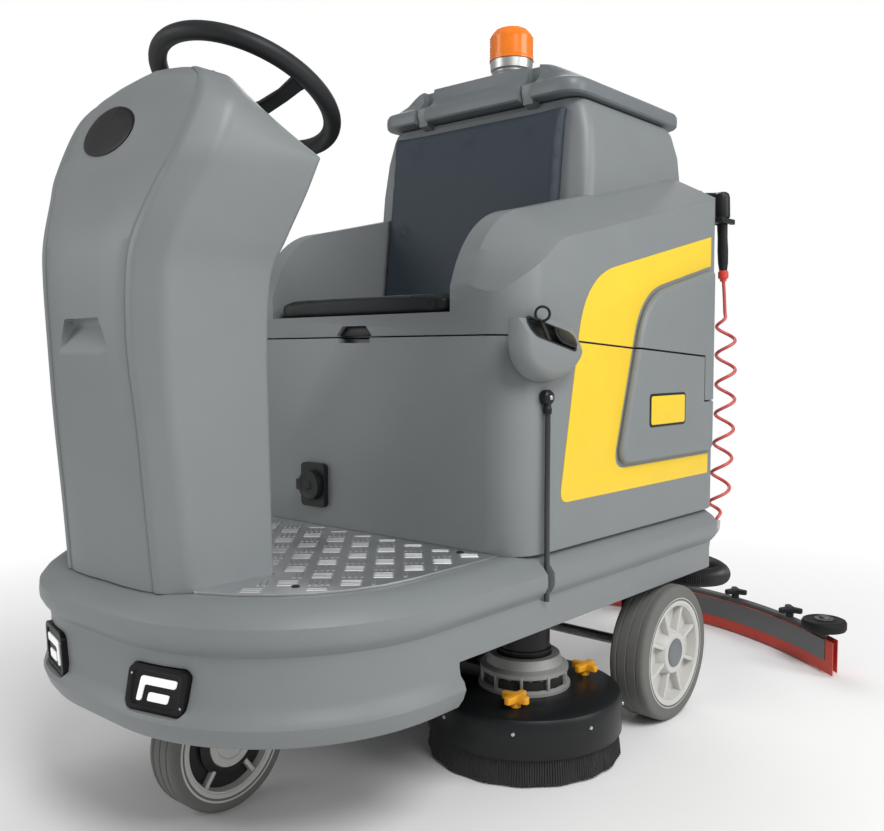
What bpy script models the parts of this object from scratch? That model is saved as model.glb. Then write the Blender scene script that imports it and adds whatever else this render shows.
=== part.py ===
"""Ride-on floor scrubber, in metres. +Y points to the rear, +X to the machine's left, +Z up.

The origin is on the floor under the middle of the front wheel.
"""

import math

import bmesh
import bpy
from mathutils import Matrix, Vector

# ---------------------------------------------------------------- driving dimensions
GAP = 0.0003  # between pieces that touch
RUN = 0.002  # running clearance round moving pieces

HALF_WIDTH = 0.430  # base shell
NOSE_Y = -0.250
NOSE_RADIUS = 0.360
TAIL_Y = 1.150
BASE_TOP = 0.445
BASE_BOTTOM = 0.225
SKIRT_BOTTOM = 0.305
SKIRT_STEP_Y = 0.175
SHELL_WALL = 0.030
SHELL_CEILING = 0.400

BODY_HALF = 0.410  # tanks
BODY_FRONT = 0.335
BODY_REAR = 1.160
BODY_CORNER = 0.075
SEAM_FRONT_Z = 0.840
SEAM_REAR_Z = 0.802
SEAM_GAP = 0.003
SEAM_DROP_Y = 1.030
HINGE_Y = 1.173
HINGE_Z = 0.700

SEAT_Z = 0.885
SEAT_HALF = 0.250
SEAT_THICK = 0.027
BACK_HALF = 0.267
BACK_THICK = 0.026
BACK_LOW_Y = 0.660
BACK_TOP_Y = 0.712
TANK_TOP = 1.353
LID_BOTTOM = 1.3563
LID_TOP = 1.440
LID_HALF = 0.285
LID_FRONT = 0.700
LID_REAR = 1.185
LID_AXIS = (0.718, 1.383)

WHEEL_X = 0.430  # outer face of a rear wheel
WHEEL_Y = 0.900
WHEEL_RADIUS = 0.150
WHEEL_WIDTH = 0.083
WHEEL_STEPS = 24
WHEEL_Z = WHEEL_RADIUS * math.cos(math.pi / WHEEL_STEPS)  # a facet of each tyre lies on the floor
RIM_RADIUS = 0.112
AXLE_RADIUS = 0.012
FRONT_RADIUS = 0.125
FRONT_Z = FRONT_RADIUS * math.cos(math.pi / WHEEL_STEPS)
FRONT_WIDTH = 0.070
FRONT_RIM = 0.095

BRUSH_X = 0.262
BRUSH_Y = 0.562
BRUSH_RADIUS = 0.197
COVER_RADIUS = 0.200
COVER_TOP = 0.134
COVER_BOTTOM = 0.054
CLEAR_OF_FLOOR = 0.004

SQUEEGEE_Y = 1.672  # centre line at the middle
SQUEEGEE_SWEEP = 0.70  # forward sweep, per metre
SQUEEGEE_HALF = 0.575
BAR_DEPTH = 0.030
BAR_LOW = 0.062
BAR_TOP = 0.100
BLADE_THICK = 0.004
BLADE_HALF = 0.605
ROLLER_RADIUS = 0.055
SWIVEL_Y = SQUEEGEE_Y - 0.005
ARM_AXIS = (1.020, 0.250)

WHEEL_TILT = math.radians(25.5)  # steering wheel, from level
STEER_HUB = Vector((0.0, 0.075, 1.267))
STEER_RING = 0.160
STEER_RIM = 0.016

PLATE_Z = 0.385  # underside of the chassis plate


# ---------------------------------------------------------------- scene and helpers
def clear_scene():
    for obj in list(bpy.data.objects):
        bpy.data.objects.remove(obj, do_unlink=True)


def paint(name, colour, roughness, metallic=0.0):
    finish = bpy.data.materials.new(name)
    finish.use_nodes = True
    shader = finish.node_tree.nodes["Principled BSDF"]
    shader.inputs["Base Color"].default_value = (*colour, 1.0)
    shader.inputs["Roughness"].default_value = roughness
    shader.inputs["Metallic"].default_value = metallic
    finish.diffuse_color = (*colour, 1.0)
    return finish


def publish(name, bm, finish, origin=(0, 0, 0), crease=35):
    """A mesh object made from bm, whose points are in world coordinates, with its origin at a given place."""
    bmesh.ops.recalc_face_normals(bm, faces=bm.faces)
    mesh = bpy.data.meshes.new(name)
    bm.to_mesh(mesh)
    bm.free()
    mesh.transform(Matrix.Translation(-Vector(origin)))
    mesh.shade_smooth()
    mesh.set_sharp_from_angle(angle=math.radians(crease))
    mesh.materials.append(finish)
    obj = bpy.data.objects.new(name, mesh)
    obj.location = origin
    bpy.context.scene.collection.objects.link(obj)
    return obj


def add_rings(bm, rings, cap=True):
    """Joins equal rings of points in order, and closes both ends."""
    rows = [[bm.verts.new(p) for p in ring] for ring in rings]
    count = len(rows[0])
    for low, high in zip(rows, rows[1:]):
        for i in range(count):
            j = (i + 1) % count
            bm.faces.new((low[i], low[j], high[j], high[i]))
    if cap:
        bm.faces.new(list(reversed(rows[0])))
        bm.faces.new(rows[-1])


def loft(name, rings, finish, origin=(0, 0, 0), crease=35):
    bm = bmesh.new()
    add_rings(bm, rings)
    return publish(name, bm, finish, origin, crease)


def prism(name, outline, low, high, finish, axis="Z", origin=(0, 0, 0), crease=35):
    """An outline pushed along an axis. On X the outline holds (y, z), on Y (x, z) and on Z (x, y)."""
    place = {
        "X": lambda a, b, h: (h, a, b),
        "Y": lambda a, b, h: (a, h, b),
        "Z": lambda a, b, h: (a, b, h),
    }[axis]
    return loft(name, [[place(a, b, h) for a, b in outline] for h in (low, high)], finish, origin, crease)


def box(name, low, high, finish, origin=(0, 0, 0), bevel=0.0):
    bm = bmesh.new()
    size = [b - a for a, b in zip(low, high)]
    middle = [(a + b) / 2 for a, b in zip(low, high)]
    bmesh.ops.create_cube(bm, size=1.0)
    bmesh.ops.scale(bm, vec=size, verts=bm.verts)
    bmesh.ops.translate(bm, vec=middle, verts=bm.verts)
    if bevel:
        bmesh.ops.bevel(bm, geom=bm.edges[:], offset=bevel, segments=2, profile=0.5, affect="EDGES")
    return publish(name, bm, finish, origin)


def turned(name, profile, centre, finish, axis="Z", steps=24, ring=False, origin=None, tilt=None):
    """A turned solid. profile holds (radius, height) from pole to pole, or a closed loop for a ring."""
    bm = bmesh.new()
    rows = []
    for radius, height in profile:
        if radius == 0:
            rows.append([bm.verts.new((0, 0, height))])
            continue
        angles = [2 * math.pi * (i + 0.5) / steps for i in range(steps)]
        rows.append([bm.verts.new((radius * math.cos(a), radius * math.sin(a), height)) for a in angles])
    pairs = list(zip(rows, rows[1:]))
    if ring:
        pairs.append((rows[-1], rows[0]))
    for low, high in pairs:
        for i in range(steps):
            j = (i + 1) % steps
            corners = [low[i % len(low)], low[j % len(low)], high[j % len(high)], high[i % len(high)]]
            bm.faces.new(list(dict.fromkeys(corners)))
    turns = {"X": Matrix.Rotation(math.pi / 2, 4, "Y"), "Y": Matrix.Rotation(-math.pi / 2, 4, "X"),
             "Z": Matrix()}
    turn = tilt if tilt is not None else turns[axis]
    bm.transform(Matrix.Translation(centre) @ turn)
    return publish(name, bm, finish, centre if origin is None else origin)


def rod(name, radius, start, end, finish, steps=16, origin=None):
    """A plain round bar between two points."""
    along = Vector(end) - Vector(start)
    turn = along.to_track_quat("Z", "Y").to_matrix().to_4x4()
    profile = [(0, 0), (radius, 0), (radius, along.length), (0, along.length)]
    return turned(name, profile, start, finish, steps=steps, tilt=turn, origin=origin)


def pipe(name, points, radius, finish, sides=2, origin=(0, 0, 0)):
    """A round tube along a list of points, with closed ends."""
    curve = bpy.data.curves.new(name, "CURVE")
    curve.dimensions = "3D"
    curve.bevel_depth = radius
    curve.bevel_resolution = sides
    curve.use_fill_caps = True
    spline = curve.splines.new("POLY")
    spline.points.add(len(points) - 1)
    for spot, p in zip(spline.points, points):
        spot.co = (*(Vector(p) - Vector(origin)), 1.0)
    curve.materials.append(finish)
    obj = bpy.data.objects.new(name, curve)
    obj.location = origin
    bpy.context.scene.collection.objects.link(obj)
    return obj


def smooth_route(points, spacing):
    """Points a set distance apart on a smooth curve through the given ones."""
    pts = [Vector(p) for p in points]
    pts = [2 * pts[0] - pts[1]] + pts + [2 * pts[-1] - pts[-2]]
    fine = []
    for a, b, c, d in zip(pts, pts[1:], pts[2:], pts[3:]):
        for i in range(40):
            t = i / 40
            bend = (2 * a - 5 * b + 4 * c - d) * t**2 + (3 * b - a - 3 * c + d) * t**3
            fine.append(0.5 * (2 * b + (c - a) * t + bend))
    fine.append(pts[-2])
    length = sum((b - a).length for a, b in zip(fine, fine[1:]))
    count = max(2, round(length / spacing))
    out, run, k = [fine[0]], 0.0, 1
    for a, b in zip(fine, fine[1:]):
        step = (b - a).length
        while k < count and run + step >= k * length / count:
            out.append(a.lerp(b, (k * length / count - run) / step))
            k += 1
        run += step
    return out + [fine[-1]]


def combine(target, tools, operation="DIFFERENCE"):
    """Cuts the tools from the target, or joins them to it, and takes them away."""
    for tool in tools:
        cut = target.modifiers.new(operation.title(), "BOOLEAN")
        cut.operation = operation
        cut.object = tool
        bpy.context.view_layer.update()
        with bpy.context.temp_override(object=target, active_object=target, selected_objects=[target]):
            bpy.ops.object.modifier_apply(modifier=cut.name)
        bpy.data.objects.remove(tool, do_unlink=True)
    target.data.shade_smooth()
    target.data.set_sharp_from_angle(angle=math.radians(35))
    return target


def arc(cx, cy, radius, start, end, steps):
    return [
        (cx + radius * math.cos(math.radians(a)), cy + radius * math.sin(math.radians(a)))
        for a in [start + (end - start) * i / steps for i in range(steps + 1)]
    ]


def rounded(x0, x1, y0, y1, radius, steps=3):
    """A rectangle with round corners, anticlockwise."""
    corners = [(x1 - radius, y0 + radius, -90), (x1 - radius, y1 - radius, 0)]
    corners += [(x0 + radius, y1 - radius, 90), (x0 + radius, y0 + radius, 180)]
    return [p for cx, cy, a in corners for p in arc(cx, cy, radius, a, a + 90, steps)]


def mirrored(side, low, high):
    """The X range of a piece on one side, low to high."""
    return (low, high) if side > 0 else (-high, -low)


# ---------------------------------------------------------------- base
def base_outline(inset):
    """Plan of the base shell: a full round nose and small rear corners."""
    half = HALF_WIDTH - inset
    radius = NOSE_RADIUS - inset
    tail = max(0.06 - inset, 0.01)
    nose = NOSE_Y + inset + radius
    rear = TAIL_Y - inset - tail
    return (
        arc(half - radius, nose, radius, -90, 0, 8)
        + arc(half - tail, rear, tail, 0, 90, 3)
        + arc(-half + tail, rear, tail, 90, 180, 3)
        + arc(-half + radius, nose, radius, 180, 270, 8)
    )


def lamp_frame(side):
    """Where a lamp sits on the nose: its centre on the surface and its turn about Z."""
    x = 0.155
    centre_x = HALF_WIDTH - NOSE_RADIUS
    radius = NOSE_RADIUS - 0.018
    angle = math.asin((x - centre_x) / radius)
    y = NOSE_Y + NOSE_RADIUS - radius * math.cos(angle)
    return Matrix.Translation((side * x, y, 0.307)) @ Matrix.Rotation(side * angle, 4, "Z")


def lamp_outline(grow):
    """The lamp's face, (x, z) on its own frame: a trapezoid with its corners rounded by the bevel."""
    return [
        (-0.058 - grow, -0.026 - grow),
        (-0.046 - grow, -0.036 - grow),
        (0.040 + grow, -0.036 - grow),
        (0.052 + grow, -0.026 - grow),
        (0.062 + grow, 0.026 + grow),
        (0.052 + grow, 0.036 + grow),
        (-0.046 - grow, 0.036 + grow),
        (-0.056 - grow, 0.026 + grow),
    ]


def lamp_block(name, side, grow, front, back, finish):
    face = [(-side * x, z) for x, z in lamp_outline(grow)]
    block = prism(name, face, front, back, finish, axis="Y")
    block.data.transform(lamp_frame(side))
    return block


def make_base():
    levels = [
        (BASE_BOTTOM, 0.022),
        (0.262, 0.004),
        (0.285, 0.018),
        (0.365, 0.018),
        (0.385, 0.0),
        (0.412, 0.0),
        (0.436, 0.026),
        (BASE_TOP, 0.050),
    ]
    shell = loft("base_shell", [[(x, y, z) for x, y in base_outline(i)] for z, i in levels], GREY)
    hollow = prism("hollow", base_outline(SHELL_WALL), BASE_BOTTOM - 0.05, SHELL_CEILING, GREY)
    step = box("step", (-1, SKIRT_STEP_Y, 0.1), (1, 2, SKIRT_BOTTOM), GREY)
    slot = box("slot", (BODY_HALF - 0.002, TUBE_Y - 0.011, 0.350), (0.5, TUBE_Y + 0.011, 0.5), GREY)
    lamps = [lamp_block("lamp_pocket", side, GAP, -0.05, 0.030 + GAP, BLACK) for side in (1, -1)]
    combine(shell, [hollow, step, slot, *lamps])
    low = Vector((GUN_X, GUN_Y, INLET_Z))
    inlet = rod("inlet", 0.010, (GUN_X, TAIL_Y - 0.030, INLET_Z), low + Vector((0, 0.008, 0)), GREY, 16)
    elbow = rod("elbow", 0.009, low, (GUN_X, GUN_Y, COIL_LOW - GAP), GREY, 16)
    x, y, z = SUCTION_ROUTE[0]
    outlet = [(0, z + GAP), (SUCTION_RADIUS, z + GAP), (SUCTION_RADIUS, 0.410), (0, 0.410)]
    combine(shell, [inlet, elbow, turned("outlet", outlet, (x, y, 0), GREY, steps=24)], "UNION")
    for side, word in ((1, "left"), (-1, "right")):
        lamp_block("lamp_housing_" + word, side, 0.0, -0.004, 0.030, BLACK)
    plate = prism("footplate", foot_outline(), BASE_TOP + GAP, BASE_TOP + 0.004, ALUMINIUM)
    combine(plate, [prism("column_foot", column_plan(GAP), 0.4, 0.5, GREY)])
    combine(plate, pedal_lugs(), "UNION")
    combine(plate, [pedal_bore()])


def foot_outline():
    """The tread plate's edge: the base outline drawn in, cut straight in front of the tanks."""
    back = BODY_FRONT - RUN
    edge = [(x, y) for x, y in base_outline(0.062) if y < 0.15]
    half = HALF_WIDTH - 0.062
    right_side = [p for p in edge if p[0] >= 0]
    left_side = [p for p in edge if p[0] < 0]
    return right_side + [(half, back), (-half, back)] + left_side


# ---------------------------------------------------------------- front column
# Each row: height; half width and y of the front face, of the chamfer's far edge and of the rear.
COLUMN = [
    (BASE_TOP + GAP, 0.138, -0.206, 0.173, -0.170, 0.178, -0.015),
    (0.560, 0.136, -0.215, 0.170, -0.180, 0.175, -0.015),
    (0.700, 0.135, -0.227, 0.167, -0.195, 0.172, -0.015),
    (0.820, 0.129, -0.237, 0.166, -0.203, 0.170, -0.015),
    (0.930, 0.135, -0.239, 0.174, -0.203, 0.178, -0.012),
    (0.990, 0.147, -0.231, 0.189, -0.192, 0.200, 0.002),
    (1.060, 0.168, -0.207, 0.210, -0.163, 0.222, 0.025),
    (1.110, 0.186, -0.187, 0.222, -0.143, 0.232, 0.042),
]
DASH_TOP = (-0.100, 1.265)  # y, z of the dash's upper edge
DASH_SLOPE = -1.038


def dash_z(y):
    return DASH_TOP[1] + DASH_SLOPE * (y - DASH_TOP[0])


def column_ring(half, front, edge_half, edge, rear_half, rear):
    right = [(half, front), (edge_half, edge), (rear_half, rear)]
    return [(0.0, front - 0.006)] + right + [(0.0, rear)] + [(-x, y) for x, y in reversed(right)]


def column_plan(grow):
    _, half, front, edge_half, edge, rear_half, rear = COLUMN[0]
    return column_ring(half + grow, front - grow, edge_half + grow, edge, rear_half + grow, rear + grow)


def steer_turn():
    return Matrix.Rotation(-WHEEL_TILT, 4, "X")


def steer_point(height):
    """A point on the steering axis, this far above the hub."""
    return STEER_HUB + steer_turn() @ Vector((0, 0, height))


def make_column():
    rings = [[(x, y, level[0]) for x, y in column_ring(*level[1:])] for level in COLUMN]
    head = [(0.0, -0.172, 1.200), (0.190, -0.148, 1.205), (0.221, -0.117, 1.186), (0.230, 0.047, 1.118)]
    top = [(0.0, -0.106), (0.100, -0.101), (0.165, -0.085), (0.205, 0.030)]
    for row, rear in ((head, (0.0, 0.047, 1.118)), ([(x, y, dash_z(y)) for x, y in top],
                                                    (0.0, 0.030, dash_z(0.030)))):
        rings.append(row + [rear] + [(-x, y, z) for x, y, z in reversed(row[1:])])
    column = loft("front_column", rings, GREY, crease=20)

    slope = math.atan(DASH_SLOPE)
    turn = Matrix.Rotation(slope, 4, "X")
    lift = 0.0045 + GAP
    middle = Vector((0, -0.038, dash_z(-0.038))) + turn @ Vector((0, 0, lift))
    dash = box("dash", (-0.125, -0.075, -0.012), (0.125, 0.075, 0.0045), BLACK)
    dash.data.transform(Matrix.Translation(middle) @ turn)
    combine(column, [dash, make_badge()], "UNION")
    combine(column, [rod("bore", SHAFT_RADIUS + GAP, steer_point(-0.20), steer_point(0.1), GREY)])

    top_of_dash = middle + turn @ Vector((0, 0, 0.0045 + GAP))
    stop_place = top_of_dash + turn @ Vector((0.085, 0.020, 0))
    turned(
        "emergency_stop",
        [(0, -0.006), (0.010, -0.006), (0.010, 0.010), (0.018, 0.012), (0.018, 0.020), (0.012, 0.024),
         (0, 0.024)],
        stop_place, RED, tilt=turn, steps=16,
    )
    hole = rod("hole", 0.010 + GAP, stop_place + turn @ Vector((0, 0, -0.012)),
               stop_place + turn @ Vector((0, 0, 0.1)), RED)
    combine(column, [hole])
    key_place = top_of_dash + turn @ Vector((-0.085, 0.020, 0))
    key = turned(
        "key_switch", [(0, 0), (0.012, 0), (0.012, 0.008), (0.010, 0.009), (0, 0.009)], key_place, STEEL,
        tilt=turn, steps=16,
    )
    blade = box("key_blade", (-0.0015, -0.009, 0.005), (0.0015, 0.009, 0.028), STEEL)
    blade.matrix_parent_inverse = Matrix()
    blade.data.transform(Matrix.Translation(key_place) @ turn)
    combine(key, [blade], "UNION")


def make_badge():
    """A bare oval on the column's face."""
    tilt = Matrix.Rotation(math.radians(66), 4, "X")
    oval = [(0.056 * math.cos(a), 0.040 * math.sin(a)) for a in [2 * math.pi * i / 28 for i in range(28)]]
    badge = prism("badge", oval, -0.012, 0.003, BLACK)
    badge.data.transform(Matrix.Translation((0, -0.1985, 1.158)) @ tilt)
    return badge


def make_steering():
    hub = STEER_HUB
    low, high = -0.190, -0.020 - GAP
    shaft = [(0, low), (SHAFT_RADIUS, low), (SHAFT_RADIUS, high), (0, high)]
    turned("steering_shaft", shaft, hub, STEEL, tilt=steer_turn(), steps=20)
    section = [
        (STEER_RING + STEER_RIM * math.cos(a), STEER_RIM * math.sin(a))
        for a in [2 * math.pi * i / 8 for i in range(8)]
    ]
    wheel = turned("steering_wheel", section, hub, BLACK, tilt=steer_turn(), steps=32, ring=True)
    centre = [(0, -0.020), (0.032, -0.020), (0.036, -0.008), (0.030, 0.012), (0, 0.012)]
    parts = [turned("hub", centre, hub, BLACK, tilt=steer_turn(), steps=20)]
    for side in (1, -1):
        low, high = mirrored(side, 0.020, STEER_RING - 0.004)
        spoke = box("spoke", (low, -0.017, -0.010), (high, 0.017, 0.001), BLACK)
        spoke.data.transform(Matrix.Translation(hub) @ steer_turn())
        parts.append(spoke)
    combine(wheel, parts, "UNION")


def pedal_lugs():
    """The pedal's two hinge lugs, which stand on the footplate."""
    return [
        box("lug", (x, HEEL.y - 0.010, BASE_TOP + 0.002), (x + 0.008, HEEL.y + 0.010, HEEL.z + 0.009), BLACK)
        for x in (-0.303, -0.245)
    ]


def pedal_bore():
    return rod("bore", PEDAL_PIN + GAP, (-0.32, HEEL.y, HEEL.z), (-0.22, HEEL.y, HEEL.z), BLACK, 16)


def make_pedal():
    plate = box("accelerator_pedal", (-0.292, -0.155, 0.0), (-0.248, 0.005, 0.008), RUBBER, bevel=0.002)
    lean = Matrix.Rotation(-PEDAL_LEAN, 4, "X")
    plate.data.transform(Matrix.Translation(HEEL - Vector((HEEL.x, 0, 0))) @ lean)
    barrel = rod("barrel", 0.0085, (-0.2925, HEEL.y, HEEL.z), (-0.2475, HEEL.y, HEEL.z), RUBBER, 20)
    pin = rod("pin", PEDAL_PIN, (-0.3025, HEEL.y, HEEL.z), (-0.2375, HEEL.y, HEEL.z), RUBBER, 16)
    combine(plate, [barrel, pin], "UNION")
    plate.data.transform(Matrix.Translation(-HEEL))
    plate.location = HEEL


# ---------------------------------------------------------------- chassis, wheels
def make_chassis():
    frame = box("chassis_frame", (-0.330, -0.060, PLATE_Z), (0.330, 1.040, SHELL_CEILING - GAP), STEEL_BLACK)
    extras = [
        turned("bearing", [(0, BEARING_Z), (0.045, BEARING_Z), (0.045, 0.390), (0, 0.390)], (0, 0, 0),
               STEEL_BLACK)
    ]
    for side in (1, -1):
        low, high = mirrored(side, 0.318, 0.330)
        extras.append(box("leg", (low, WHEEL_Y - 0.045, 0.115), (high, WHEEL_Y + 0.045, 0.390), STEEL_BLACK))
        low, high = mirrored(side, ARM_HALF + RUN, ARM_HALF + RUN + 0.010)
        extras.append(box("lug", (low, ARM_AXIS[0] - 0.022, 0.225), (high, ARM_AXIS[0] + 0.022, 0.390),
                          STEEL_BLACK))
        sleeve = [(0, 0.330), (0.022, 0.330), (0.022, 0.390), (0, 0.390)]
        extras.append(turned("sleeve", sleeve, (side * POST_X, BRUSH_Y, 0), STEEL_BLACK, steps=20))
    combine(frame, extras, "UNION")
    stem_bore = (STEM_RADIUS + GAP) / math.cos(math.pi / 16)
    cuts = [rod("stem_bore", stem_bore, (0, 0, 0.2), (0, 0, 0.5), GREY)]
    cuts.append(rod("axle_bore", AXLE_RADIUS + GAP, (-0.5, WHEEL_Y, WHEEL_Z), (0.5, WHEEL_Y, WHEEL_Z), GREY))
    cuts.append(rod("pin_bore", ARM_PIN + GAP, (-0.2, *ARM_AXIS), (0.2, *ARM_AXIS), GREY))
    for side in (1, -1):
        x = side * POST_X
        cuts.append(rod("post_bore", POST_RADIUS + GAP, (x, BRUSH_Y, 0.2), (x, BRUSH_Y, 0.5), GREY))
    combine(frame, cuts)


def tyre_profile(radius, inner, width, shoulder):
    half = width / 2
    return [
        (inner, -half),
        (radius - shoulder, -half),
        (radius, -half + shoulder),
        (radius, half - shoulder),
        (radius - shoulder, half),
        (inner, half),
    ]


def rim_profile(radius, width, bore, dish):
    """A wheel centre with a dished outer face and a cap over its bore, from pole to pole."""
    half = width / 2
    return [
        (0, half - 0.012 + GAP),
        (bore, half - 0.012 + GAP),
        (bore, -half + 0.004),
        (0.045, -half + 0.004),
        (0.050, -half + dish),
        (radius - 0.012, -half + dish),
        (radius, -half + 0.002),
        (radius, half - 0.002),
        (radius - 0.006, half - 0.002),
        (radius - 0.012, half - dish),
        (0.050, half - dish),
        (0.045, half - 0.001),
        (0, half - 0.001),
    ]


def make_rear_wheels():
    reach = WHEEL_X - 0.012
    rod("rear_axle", AXLE_RADIUS, (-reach, WHEEL_Y, WHEEL_Z), (reach, WHEEL_Y, WHEEL_Z), STEEL)
    for side, word in ((1, "left"), (-1, "right")):
        centre = (side * (WHEEL_X - WHEEL_WIDTH / 2), WHEEL_Y, WHEEL_Z)
        tilt = Matrix.Rotation(side * math.pi / 2, 4, "Y")
        tyre = tyre_profile(WHEEL_RADIUS, RIM_RADIUS + GAP, WHEEL_WIDTH, 0.008)
        turned("rear_tyre_" + word, tyre, centre, TYRE, tilt=tilt, steps=WHEEL_STEPS, ring=True)
        rim = rim_profile(RIM_RADIUS, WHEEL_WIDTH, AXLE_RADIUS + GAP, 0.022)
        turned("rear_rim_" + word, rim, centre, RIM, tilt=tilt, steps=WHEEL_STEPS)


def make_front_wheel():
    hub = (0, 0, FRONT_Z)
    tyre = tyre_profile(FRONT_RADIUS, FRONT_RIM + GAP, FRONT_WIDTH, 0.008)
    turned("front_tyre", tyre, hub, TYRE, axis="X", steps=WHEEL_STEPS, ring=True)
    rim = rim_profile(FRONT_RIM, FRONT_WIDTH, AXLE_RADIUS + GAP, 0.018)
    turned("front_rim", rim, hub, RIM, axis="X", steps=WHEEL_STEPS)
    inner = -FRONT_WIDTH / 2 - RUN
    leg = inner - 0.030
    crown_z = FRONT_Z + FRONT_RADIUS + 0.006
    fork = box("front_fork", (leg, -0.038, 0.070), (inner, 0.038, crown_z + 0.012), STEEL_BLACK, bevel=0.004)
    crown = box("crown", (leg, -0.038, crown_z), (0.045, 0.038, crown_z + 0.018), STEEL_BLACK)
    stem = rod("stem", STEM_RADIUS, (0, 0, crown_z + 0.010), (0, 0, SHELL_CEILING - 0.001), STEEL_BLACK)
    collar = [(0, crown_z + 0.010), (0.030, crown_z + 0.010), (0.030, BEARING_Z - RUN), (0, BEARING_Z - RUN)]
    combine(fork, [crown, stem, turned("collar", collar, (0, 0, 0), STEEL_BLACK)], "UNION")
    tip = FRONT_WIDTH / 2 - 0.012
    stub = rod("stub_axle", AXLE_RADIUS, (leg + 0.004, 0, FRONT_Z), (tip, 0, FRONT_Z), STEEL)
    combine(fork, [stub], "UNION")


# ---------------------------------------------------------------- brush deck
def star_outline(reach, width, arms):
    points = []
    for k in range(arms):
        a = 2 * math.pi * k / arms
        for turn, r in ((-width, reach), (width, reach), (math.pi / arms, reach * 0.42)):
            points.append((r * math.cos(a + turn), r * math.sin(a + turn)))
    return points


def star_knob(name, x, y, z, finish, arms=4, reach=0.030):
    """A hand knob with arms on a short round foot."""
    foot = [(0, 0), (0.011, 0), (0.011, 0.014), (0, 0.014)]
    knob = turned(name, foot, (x, y, z), finish, steps=16)
    outline = [(a, b) for a, b in star_outline(reach, 0.24, arms)]
    star = prism("star", outline, z + 0.010, z + 0.026, finish)
    star.data.transform(Matrix.Translation((x, y, 0)))
    return combine(knob, [star], "UNION")


def make_deck():
    beam = box("deck_beam", (-0.200, BRUSH_Y - 0.050, COVER_TOP + 0.004), (0.200, BRUSH_Y + 0.050, 0.165),
               STEEL_BLACK)
    posts = [
        rod("post", POST_RADIUS, (side * POST_X, BRUSH_Y, 0.150), (side * POST_X, BRUSH_Y, 0.345),
            STEEL_BLACK)
        for side in (1, -1)
    ]
    combine(beam, posts, "UNION")
    for side, word in ((1, "left"), (-1, "right")):
        x = side * BRUSH_X
        centre = (x, BRUSH_Y, 0)
        top = COVER_TOP
        cover = [
            (0.0233, top - 0.008), (0.0233, top), (COVER_RADIUS - 0.010, top), (COVER_RADIUS, top - 0.010),
            (COVER_RADIUS, COVER_BOTTOM), (COVER_RADIUS - 0.006, COVER_BOTTOM), (COVER_RADIUS - 0.006,
                                                                                 top - 0.012),
            (COVER_RADIUS - 0.012, top - 0.008),
        ]
        turned("brush_cover_" + word, cover, centre, BLACK, steps=32, ring=True)
        bracket = [
            (MOTOR_RADIUS + GAP, top + GAP), (0.088, top + GAP), (0.082, top + 0.040), (0.070, top + 0.064),
            (MOTOR_RADIUS + GAP, top + 0.064),
        ]
        combine(beam, [turned("bracket", bracket, centre, CAST, steps=24, ring=True)], "UNION")
        shell = [
            (0, top + GAP), (MOTOR_RADIUS, top + GAP), (MOTOR_RADIUS, 0.270),
            (MOTOR_RADIUS - 0.010, 0.282), (0, 0.282),
        ]
        turned("brush_motor_" + word, shell, centre, BLACK)
        disc = [
            (0, top - 0.002), (0.023, top - 0.002), (0.023, top - 0.010), (0.170, top - 0.014),
            (0.189, COVER_BOTTOM), (BRUSH_RADIUS, CLEAR_OF_FLOOR), (0.110, CLEAR_OF_FLOOR),
            (0.104, 0.070), (0, 0.070),
        ]
        turned("brush_" + word, disc, centre, BRISTLE, steps=32)
        for n, offset in ((1, -0.122), (2, 0.122)):
            star_knob(f"deck_knob_{word}_{n}", side * (BRUSH_X + 0.068), BRUSH_Y + offset, top + GAP, ORANGE)


# ---------------------------------------------------------------- squeegee
def squeegee_y(x):
    return SQUEEGEE_Y - SQUEEGEE_SWEEP * x * x


def swept_bar(name, stations, offset, depth, low, high, finish):
    """A bar that follows the squeegee's curve through the given stations along X."""
    rings = []
    for x in stations:
        front, rear = squeegee_y(x) + offset - depth / 2, squeegee_y(x) + offset + depth / 2
        rings.append([(x, front, low), (x, rear, low), (x, rear, high), (x, front, high)])
    return loft(name, rings, finish, (0, SWIVEL_Y, 0))


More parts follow.
